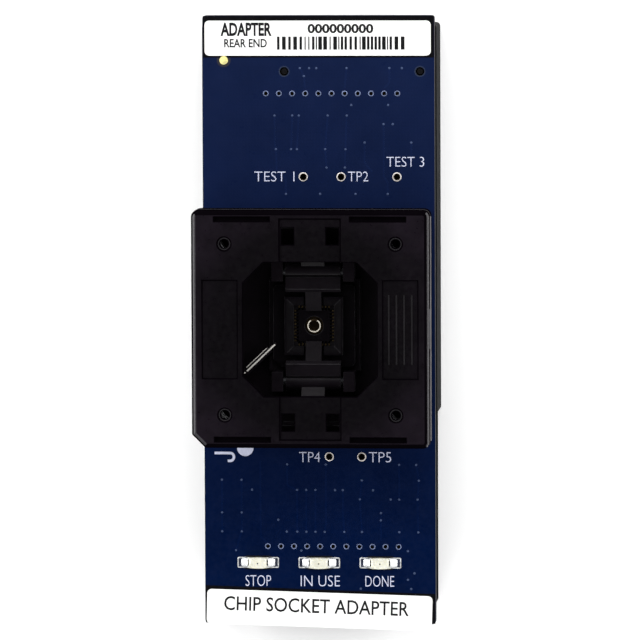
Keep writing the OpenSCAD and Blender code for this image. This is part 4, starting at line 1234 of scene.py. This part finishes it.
class ADAPTER_OT_lamps(bpy.types.Operator):
    """Make the three status lamps, their pads and their solder"""

    bl_idname = "adapter.lamps"
    bl_label = "Lamps"

    def execute(self, context):
        low, middle, high = middle_of("lamp_bodies")
        lamp_width = high.y - low.y
        pitch = (high.x - low.x - LAMP_LENGTH) / 2
        spots = [Vector((middle.x + i * pitch, middle.y, TOP)) for i in (-1, 0, 1)]
        ends = [(spot, side) for spot in spots for side in (-1, 1)]
        dressed("lamp_bodies", LAMP_EDGE)
        self.pads(look("lamp"), spots, ends)
        self.lenses(spots, lamp_width)
        self.solder(ends, lamp_width, high.z - TOP)
        self.marks(spots, ends, high.z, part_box("lamp_lenses")[1].z)
        return {"FINISHED"}

    def pads(self, settings, spots, ends):
        """Solder pads at the lamps' ends, their bright rims, and a black plate of painted shadow under each
        lamp.
        """
        pad = (settings.pad_length - LAMP_LENGTH) / 2 + PAD_UNDER
        reach = settings.pad_length / 2 - pad / 2
        places = [spot + Vector((side * reach, 0.0, 0.0)) for spot, side in ends]
        sizes = (pad, settings.pad_width, PAD_HEIGHT, PAD_CORNER)
        grown_piece(plates, "lamp_pads", "pad_plating", "tin", places, *sizes)
        near = LAMP_LENGTH / 2
        far = settings.pad_length / 2 - PAD_RIM / 2
        half = settings.pad_width / 2 - PAD_RIM / 2
        corners = [(near, half), (far, half), (far, -half), (near, -half)]
        rims = [[spot + Vector((side * x, y, PAD_HEIGHT)) for x, y in corners] for spot, side in ends]
        grown_piece(ribbons, "lamp_pad_rims", "tin", "tin", rims, PAD_RIM, SKIN, PAD_BEND)
        # Painted shadow: a black plate under each lamp
        grown_piece(plates, "lamp_beds", "ink", "board", spots, *LAMP_SHADOW_SIZE)

    def lenses(self, spots, lamp_width):
        """Crowned lenses whose long sides bulge a little."""
        low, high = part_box("lamp_lenses")
        half_length = (high.x - spots[2].x) * LENS_SHARE
        forms = []
        for spot in spots:
            profiles = []
            for i in range(LENS_STEPS + 1):
                t = 2.0 * i / LENS_STEPS - 1.0
                half = lamp_width / 2 * (1.0 + LENS_BULGE * (1.0 - t**2))
                height = (high.z - low.z) * (1.0 - LENS_FALL * t**4)
                profiles.append(arch(spot.x + half_length * t, spot.y, low.z, half, height, LENS_POWER))
            forms.append(profiles)
        lofted_piece("lamp_lens_domes", forms, "lamp_lens", "lamp_lenses")

    def solder(self, ends, lamp_width, lamp_height):
        """Rounded solder wedges against the lamps' ends."""
        forms = []
        for spot, side in ends:
            profiles = []
            for i in range(SOLDER_STEPS + 1):
                t = i / SOLDER_STEPS
                x = spot.x + side * (LAMP_LENGTH / 2 - SOLDER_OVERLAP + SOLDER_REACH * t)
                half = lamp_width * SOLDER_HALF * (1.0 - SOLDER_TAPER * t**2)
                slope = (1.0 - t) ** SOLDER_FALL * (1.0 + SOLDER_BELLY * t)
                crest = lamp_height * SOLDER_HEIGHT * slope + SOLDER_LEAST
                profiles.append(arch(x, spot.y, TOP + SOLDER_FOOT, half, crest, SOLDER_POWER))
            forms.append(profiles)
        lofted_piece("lamp_solder", forms, "tin", "lamp_terminals")

    def marks(self, spots, ends, shoulder, crown):
        """Dark half rings at the lamp ends, and the small dark die in each lens."""
        turns = [math.pi * (i / MARK_STEPS - 0.5) for i in range(MARK_STEPS + 1)]
        bend = [(-MARK_DEPTH * math.cos(a), MARK_HALF * math.sin(a)) for a in turns]
        arcs = []
        for spot, side in ends:
            centre = Vector((spot.x + side * MARK_PLACE, spot.y, shoulder + MARK_LIFT))
            arcs.append([centre + Vector((side * x, y, 0.0)) for x, y in bend])
        grown_piece(ribbons, "lamp_end_marks", "ink", "lamp_white", arcs, MARK_STROKE, SKIN, MARK_BEND)
        dies = [Vector((spot.x, spot.y - DIE_SHIFT, crown)) for spot in spots]
        grown_piece(discs, "lamp_dies", "ink", "lamp_lens", dies, DIE_RADIUS, DIE_HEIGHT)


# Socket

# Rounding of the base's pieces in millimetres, and their finish where it isn't that of their slot
SOCKET_EDGES = {
    "socket_base": (0.12, None),
    "nest_plate": (0.07, None),
    "tail_guide": (0.06, None),
    # The contact pins take a dark gold that paints the shade round the nest
    "contact_pins": (0.02, "contact_gold"),
    "base_fixings": (0.06, None),
    # The ground barrel and plunger take the dark finish, which paints the shade in their hollow
    "ground_barrel": (0.04, "bronze"),
    "latch_shaft_rear": (0.08, "black_steel"),
    "latch_shaft_front": (0.08, "black_steel"),
    "contact_pointer": (0.03, "latch_plastic"),
    "ground_plunger": (0.04, "bronze"),
}
# The pale arc on the ground plunger, plating pale with wear that also paints the rim's highlight: radius,
# width, steps and the angle of the gap in it, a painted shadow of the latch finger
PLUNGER_ARC = 0.92 * MM
PLUNGER_ARC_WIDTH = 0.17 * MM
PLUNGER_ARC_STEPS = 48
PLUNGER_SHADOW_GAP = math.radians(64.0)
# Pale lines along the pointer: piece, shift across, start, stop and width in millimetres, 1 on top of it
POINTER_LINES = [
    ("pointer_line", 0.04, 0.6, 6.5, 0.23, 1),
    ("pointer_edge_line", -0.42, 0.9, 5.2, 0.1, 0),
    ("pointer_dot", 0.0, 0.1, 0.3, 0.22, 1),
]


class ADAPTER_OT_socket(bpy.types.Operator):
    """Dress the socket's base, nest, contacts and ground probe"""

    bl_idname = "adapter.socket"
    bl_label = "Socket base"

    def execute(self, context):
        for node, (radius, surface) in SOCKET_EDGES.items():
            dressed(node, radius * MM, surface=surface)
        self.plunger_arc()
        self.pointer_lines()
        return {"FINISHED"}

    def plunger_arc(self):
        """The pale ring on the ground plunger, plating pale with wear and a painted highlight of its rim,
        with a gap of painted shadow toward the rear.
        """
        start = math.pi / 2 + PLUNGER_SHADOW_GAP / 2
        swing = math.tau - PLUNGER_SHADOW_GAP
        turns = [start + swing * i / PLUNGER_ARC_STEPS for i in range(PLUNGER_ARC_STEPS + 1)]
        arc = turned(Vector((0.0, 0.0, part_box("ground_plunger")[1].z)), PLUNGER_ARC, turns)
        sizes = (PLUNGER_ARC_WIDTH, SKIN, HARD_BEND)
        body = BODY_OF["ground_plunger"]
        grown_piece(ribbons, "plunger_arc", "pale_plating", "gold", [arc], *sizes, body=body)

    def pointer_lines(self):
        """Pale lines on the pointer toward contact 1: a broad one and a dot on it, a thin one beside it."""
        low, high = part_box("contact_pointer")
        start = Vector((low.x, low.y, 0.0))
        along = (Vector((high.x, high.y, 0.0)) - start).normalized()
        across = Vector((along.y, -along.x, 0.0))
        for name, side, first, last, width, on_top in POINTER_LINES:
            shift = across * side * MM + Vector((0.0, 0.0, high.z if on_top else low.z))
            line = [start + along * first * MM + shift, start + along * last * MM + shift]
            sizes = (width * MM, SKIN, HARD_BEND)
            grown_piece(ribbons, name, "pointer_white", "pointer_white", [line], *sizes)


# Cover

COVER_BODY = BODY_OF["socket_cover"]
COVER_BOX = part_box("socket_cover")
COVER_HALF = COVER_BOX[1].x
COVER_TOP = COVER_BOX[1].z
COVER_CORNER = 1.0 * MM
COVER_CUT = 2.0 * MM
# Steps in the cover's roundings, the level in millimetres whose edges stay sharp, and the latches' rounding
COVER_SEGMENTS = 5
COVER_LEVELS = (26.5,)
LATCH_EDGE = 0.06 * MM
# Side walls of the cover are taller than this
TALL = 5.5 * MM
# How level the cover's flat faces are, and the strips of its left and right rims that carry a painted
# highlight line
LEVEL_TOP = 0.995
LEFT_HIGHLIGHT_STRIPS = (0.8, 0.995)
RIGHT_HIGHLIGHT_STRIPS = (0.3, 0.8)
# Flat faces below this are the floors of slots and windows
SLOT_Z = COVER_TOP - 0.4 * MM
# The parting line: level, width and thickness of its bead, pale to paint its highlight, and of the painted
# highlight line on the right, corner steps
BEAD_Z = 24.85 * MM
BEAD_SIZE = (0.1 * MM, 0.1 * MM)
SIDE_HIGHLIGHT_SIZE = (0.34 * MM, 0.12 * MM)
BEAD_STEPS = 6
# The quarter of the cover whose corner is cut, counted from the right rear
CUT_QUARTER = 2
# Rings of painted highlight in the sunk rims of the cover's four corner holes
HOLE_PLACE = 12.85 * MM
HOLE_RING = 0.86 * MM
HOLE_RING_WIDTH = 0.14 * MM
HOLE_RING_DEPTH = 0.3 * MM
HOLE_RING_SIDES = 40
# The sunk panel on the cover's right side, and its ribs: width, length, height and corner radius
RIB_PANEL_X = 13.55 * MM
RIB_PANEL_DEPTH = 0.25 * MM
RIB_COUNT = 4
RIB_SIZE = (0.24 * MM, 10.5 * MM, 0.1 * MM, 0.1 * MM)


def top_rim(edge):
    """Whether an edge is where the cover's top meets its side walls."""
    heights = [[v.co.z for v in face.verts] for face in edge.link_faces]
    return min(v.co.z for v in edge.verts) > BEAD_Z and any(max(h) - min(h) > TALL for h in heights)


def cover_face(face):
    """Finish of a cover face: 0 for the top, 2 for the rim strips that carry a painted highlight line, 1 for
    other faces.
    """
    x, y = face.center.xy
    cut = (x + y + 2.0 * COVER_HALF - COVER_CUT) * math.sqrt(0.5)
    inside = min(COVER_HALF - abs(x), COVER_HALF - abs(y), cut)
    if face.normal.z > LEVEL_TOP:
        return int(face.center.z < SLOT_Z)
    if inside > look("socket").edge or abs(face.normal.y) > abs(face.normal.x):
        return 1
    low, high = RIGHT_HIGHLIGHT_STRIPS if x > 0.0 else LEFT_HIGHLIGHT_STRIPS
    return 2 if low < face.normal.z < high else 1


def cover_piece(maker, name, surface, *sizes):
    """A grown piece that rides on the cover."""
    return grown_piece(maker, name, surface, "cover_plastic", *sizes, body=COVER_BODY)


class ADAPTER_OT_cover(bpy.types.Operator):
    """Dress the pressed cover and the two latches"""

    bl_idname = "adapter.cover"
    bl_label = "Cover and latches"

    def execute(self, context):
        settings = look("socket")
        dressed(
            "socket_cover", settings.edge, ["cover_side", "cover_rim"], cover_face, COVER_LEVELS,
            segments=COVER_SEGMENTS, full_round=top_rim,
        )
        self.ribs(settings)
        self.hole_rings()
        self.parting_line()
        for node in ("latch_rear", "latch_front"):
            dressed(node, LATCH_EDGE)
        return {"FINISHED"}

    def ribs(self, settings):
        """Low upright ribs in the panel on the cover's right side."""
        shifts = [(i - (RIB_COUNT - 1) / 2) * settings.rib_pitch for i in range(RIB_COUNT)]
        places = [Vector((RIB_PANEL_X + shift, 0.0, COVER_TOP - RIB_PANEL_DEPTH)) for shift in shifts]
        ribs = cover_piece(plates, "cover_ribs", "cover_rib", places, *RIB_SIZE)
        smooth(ribs.data)

    def hole_rings(self):
        """Paler rings of painted highlight in the sunk rims of the cover's four corner holes."""
        sides = (-HOLE_PLACE, HOLE_PLACE)
        centres = [Vector((x, y, COVER_TOP - HOLE_RING_DEPTH)) for x in sides for y in sides]
        rings = [ring(centre, HOLE_RING, HOLE_RING_SIDES) for centre in centres]
        cover_piece(ribbons, "cover_hole_rings", "cover_ring", rings, HOLE_RING_WIDTH, SKIN, HARD_BEND)

    def parting_line(self):
        """The fine bead round the cover's sides where its mould parted, pale to paint its highlight, and a
        painted highlight line on the right.
        """
        reach = COVER_HALF - COVER_CORNER
        near_cut = COVER_CUT - COVER_HALF
        path = []
        for quarter in range(4):
            if quarter == CUT_QUARTER:
                path += [Vector((-COVER_HALF, near_cut, BEAD_Z)), Vector((near_cut, -COVER_HALF, BEAD_Z))]
                continue
            centre = Matrix.Rotation(quarter * math.pi / 2, 3, "Z") @ Vector((reach, reach, BEAD_Z))
            turns = [(quarter + i / BEAD_STEPS) * math.pi / 2 for i in range(BEAD_STEPS + 1)]
            path += turned(centre, COVER_CORNER, turns)
        bead = [path + path[:1]]
        cover_piece(ribbons, "cover_parting_line", "cover_bead", bead, *BEAD_SIZE, HARD_BEND)
        line = [[Vector((COVER_HALF, end * reach, BEAD_Z)) for end in (-1, 1)]]
        cover_piece(ribbons, "cover_side_line", "cover_line", line, *SIDE_HIGHLIGHT_SIZE, HARD_BEND)


# Springs

# Springs: node, joint, wire in millimetres, turns, and the share of the length kept when pressed
SPRINGS = [
    ("cover_springs", "cover_press", 0.5, 7, 0.77),
    ("latch_spring_rear", "rear_latch_swing", 0.32, 7, 0.6),
    ("latch_spring_front", "front_latch_swing", 0.32, 7, 0.6),
    ("ground_spring", "ground_press", 0.22, 7, 0.82),
]
COVER_SPRING_DIAMETER = 4.4 * MM


class ADAPTER_OT_springs(bpy.types.Operator):
    """Wind the springs under the cover, the latches and the ground plunger"""

    bl_idname = "adapter.springs"
    bl_label = "Springs"

    def execute(self, context):
        for node, joint, wire, turns, keep in SPRINGS:
            low, middle, high = middle_of(node)
            feet = [Vector((middle.x, middle.y, low.z))]
            diameter = high.x - low.x
            if node == "cover_springs":
                diameter = COVER_SPRING_DIAMETER
                reach = (high.x - low.x - diameter) / 2
                feet = [Vector((x * reach, y * reach, low.z)) for x in (-1, 1) for y in (-1, 1)]
            sizes = (high.z - low.z, diameter, wire * MM, turns)
            # The springs take a dark steel that paints the shade in the holes
            piece = grown_piece(coils, node + "_wound", "spring_steel", "steel", feet, *sizes)
            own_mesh(piece)
            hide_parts(node)
        return {"FINISHED"}


# Carrier

# Levels in millimetres of its underside, its floor and its top, whose edges stay sharp
CARRIER_LEVELS = (0.0, 1.8, 9.0)
# Rounding of the carrier, of the pieces in it in millimetres, and of the strips' contacts
CARRIER_EDGE = 0.15 * MM
CARRIER_EDGES = {"carrier_screws": 0.08, "standoff_nuts": 0.06, "strip_rear": 0.06, "strip_front": 0.06}
CONTACT_EDGE = 0.02 * MM
# In front of this place the carrier is narrower, and its walls lie in shade
STEP_Y = -14.0 * MM
# A wall's normal rises less than this
WALL = 0.5


def front_wall(face):
    """1 for an upright face in front of the socket, which lies in shade, and 0 for the others."""
    return int(abs(face.normal.z) < WALL and face.center.y < STEP_Y)


class ADAPTER_OT_carrier(bpy.types.Operator):
    """Dress the carrier, its screws and the connector strips"""

    bl_idname = "adapter.carrier"
    bl_label = "Carrier"

    def execute(self, context):
        dressed("carrier_frame", CARRIER_EDGE, ["carrier_matt"], front_wall, CARRIER_LEVELS)
        for node, radius in CARRIER_EDGES.items():
            dressed(node, radius * MM, flat_levels=CARRIER_LEVELS)
        # The strips' contacts take the dark finish, which paints them as shaded deep in their holes
        for node in ("strip_contacts_rear", "strip_contacts_front"):
            dressed(node, CONTACT_EDGE, surface="bronze")
        return {"FINISHED"}


# Stage

SENSOR_WIDTH = 36.0
CLIP_START = 0.05
FLOOR_HALF = 4.0
WORLD_STRENGTH = 0.12
SOFTBOX_SIZE = (0.7, 0.5)
# Soft lights: name, azimuth and elevation in degrees, distance in metres, share of the power
SOFTBOXES = [
    ("left_softbox", 172.0, 36.0, 0.9, 1.0),
    ("right_softbox", 8.0, 36.0, 0.9, 1.0),
    ("rear_softbox", 90.0, 38.0, 0.55, 0.55),
    ("front_softbox", 270.0, 34.0, 0.9, 0.7),
]


class ADAPTER_OT_stage(bpy.types.Operator):
    """Set the camera, the pale floor and the soft lights"""

    bl_idname = "adapter.stage"
    bl_label = "Stage"

    def execute(self, context):
        settings = look("stage")
        scene = context.scene
        self.camera(scene, settings)
        self.floor()
        self.lights(scene, settings)
        scene.view_settings.view_transform = "Standard"
        return {"FINISHED"}

    def camera(self, scene, settings):
        turn = (
            Matrix.Rotation(settings.roll, 3, "Z")
            @ Matrix.Rotation(settings.tilt_x, 3, "X")
            @ Matrix.Rotation(settings.tilt_y, 3, "Y")
        ).transposed()
        lens = bpy.data.cameras.new("photo_camera")
        lens.lens = settings.lens
        lens.sensor_width = SENSOR_WIDTH
        lens.clip_start = CLIP_START
        camera = linked_holder("photo_camera", lens)
        back = turn @ Vector((settings.shift_x, settings.shift_y, settings.distance))
        camera.matrix_world = Matrix.Translation(back + Vector((0.0, 0.0, TOP))) @ turn.to_4x4()
        scene.camera = camera

    def floor(self):
        mesh = bpy.data.meshes.new("studio_floor")
        corners = [(FLOOR_HALF * x, FLOOR_HALF * y, 0.0) for x, y in ((-1, -1), (1, -1), (1, 1), (-1, 1))]
        mesh.from_pydata(corners, [], [(0, 1, 2, 3)])
        mesh.materials.append(finish("floor"))
        plane = linked_holder("studio_floor", mesh)

    def lights(self, scene, settings):
        world = bpy.data.worlds.new("studio_world")
        world.use_nodes = True
        shade = world.node_tree.nodes["Background"]
        shade.inputs["Color"].default_value = (1.0, 1.0, 1.0, 1.0)
        shade.inputs["Strength"].default_value = WORLD_STRENGTH
        scene.world = world
        for name, azimuth, elevation, distance, share in SOFTBOXES:
            lamp = bpy.data.lights.new(name, "AREA")
            lamp.shape = "RECTANGLE"
            lamp.size, lamp.size_y = SOFTBOX_SIZE
            lamp.energy = settings.power * share
            light = linked_holder(name, lamp)
            a, e = math.radians(azimuth), math.radians(elevation)
            aim = Vector((math.cos(a) * math.cos(e), math.sin(a) * math.cos(e), math.sin(e)))
            spot = aim * distance
            turn = (-spot).to_track_quat("-Z", "Y").to_matrix().to_4x4()
            light.matrix_world = Matrix.Translation(spot) @ turn


class ADAPTER_PT_panel(bpy.types.Panel):
    """Buttons and settings of the adapter's looks"""

    bl_idname = "ADAPTER_PT_panel"
    bl_label = "Chip programming adapter"
    bl_space_type = "VIEW_3D"
    bl_region_type = "UI"
    bl_category = "Adapter"

    def draw(self, context):
        for operator in OPERATORS:
            self.layout.operator(operator.bl_idname)
        for name, group in LOOKS.items():
            box = self.layout.box()
            box.label(text=group.__doc__)
            for label in group.__annotations__:
                box.prop(getattr(context.scene, name), label)


OPERATORS = (
    ADAPTER_OT_stage,
    ADAPTER_OT_carrier,
    ADAPTER_OT_board,
    ADAPTER_OT_labels,
    ADAPTER_OT_lamps,
    ADAPTER_OT_socket,
    ADAPTER_OT_cover,
    ADAPTER_OT_springs,
)
CLASSES = (*LOOKS.values(), *OPERATORS, ADAPTER_PT_panel)


def register():
    for item in CLASSES:
        bpy.utils.register_class(item)
    for name, group in LOOKS.items():
        setattr(bpy.types.Scene, name, PointerProperty(type=group))


def unregister():
    for name in LOOKS:
        delattr(bpy.types.Scene, name)
    for item in reversed(CLASSES):
        bpy.utils.unregister_class(item)


def main():
    register()
    bpy.ops.adapter.stage()
    bpy.ops.adapter.carrier()
    bpy.ops.adapter.board()
    bpy.ops.adapter.labels()
    bpy.ops.adapter.lamps()
    bpy.ops.adapter.socket()
    bpy.ops.adapter.cover()
    bpy.ops.adapter.springs()


if __name__ == "__main__":
    main()
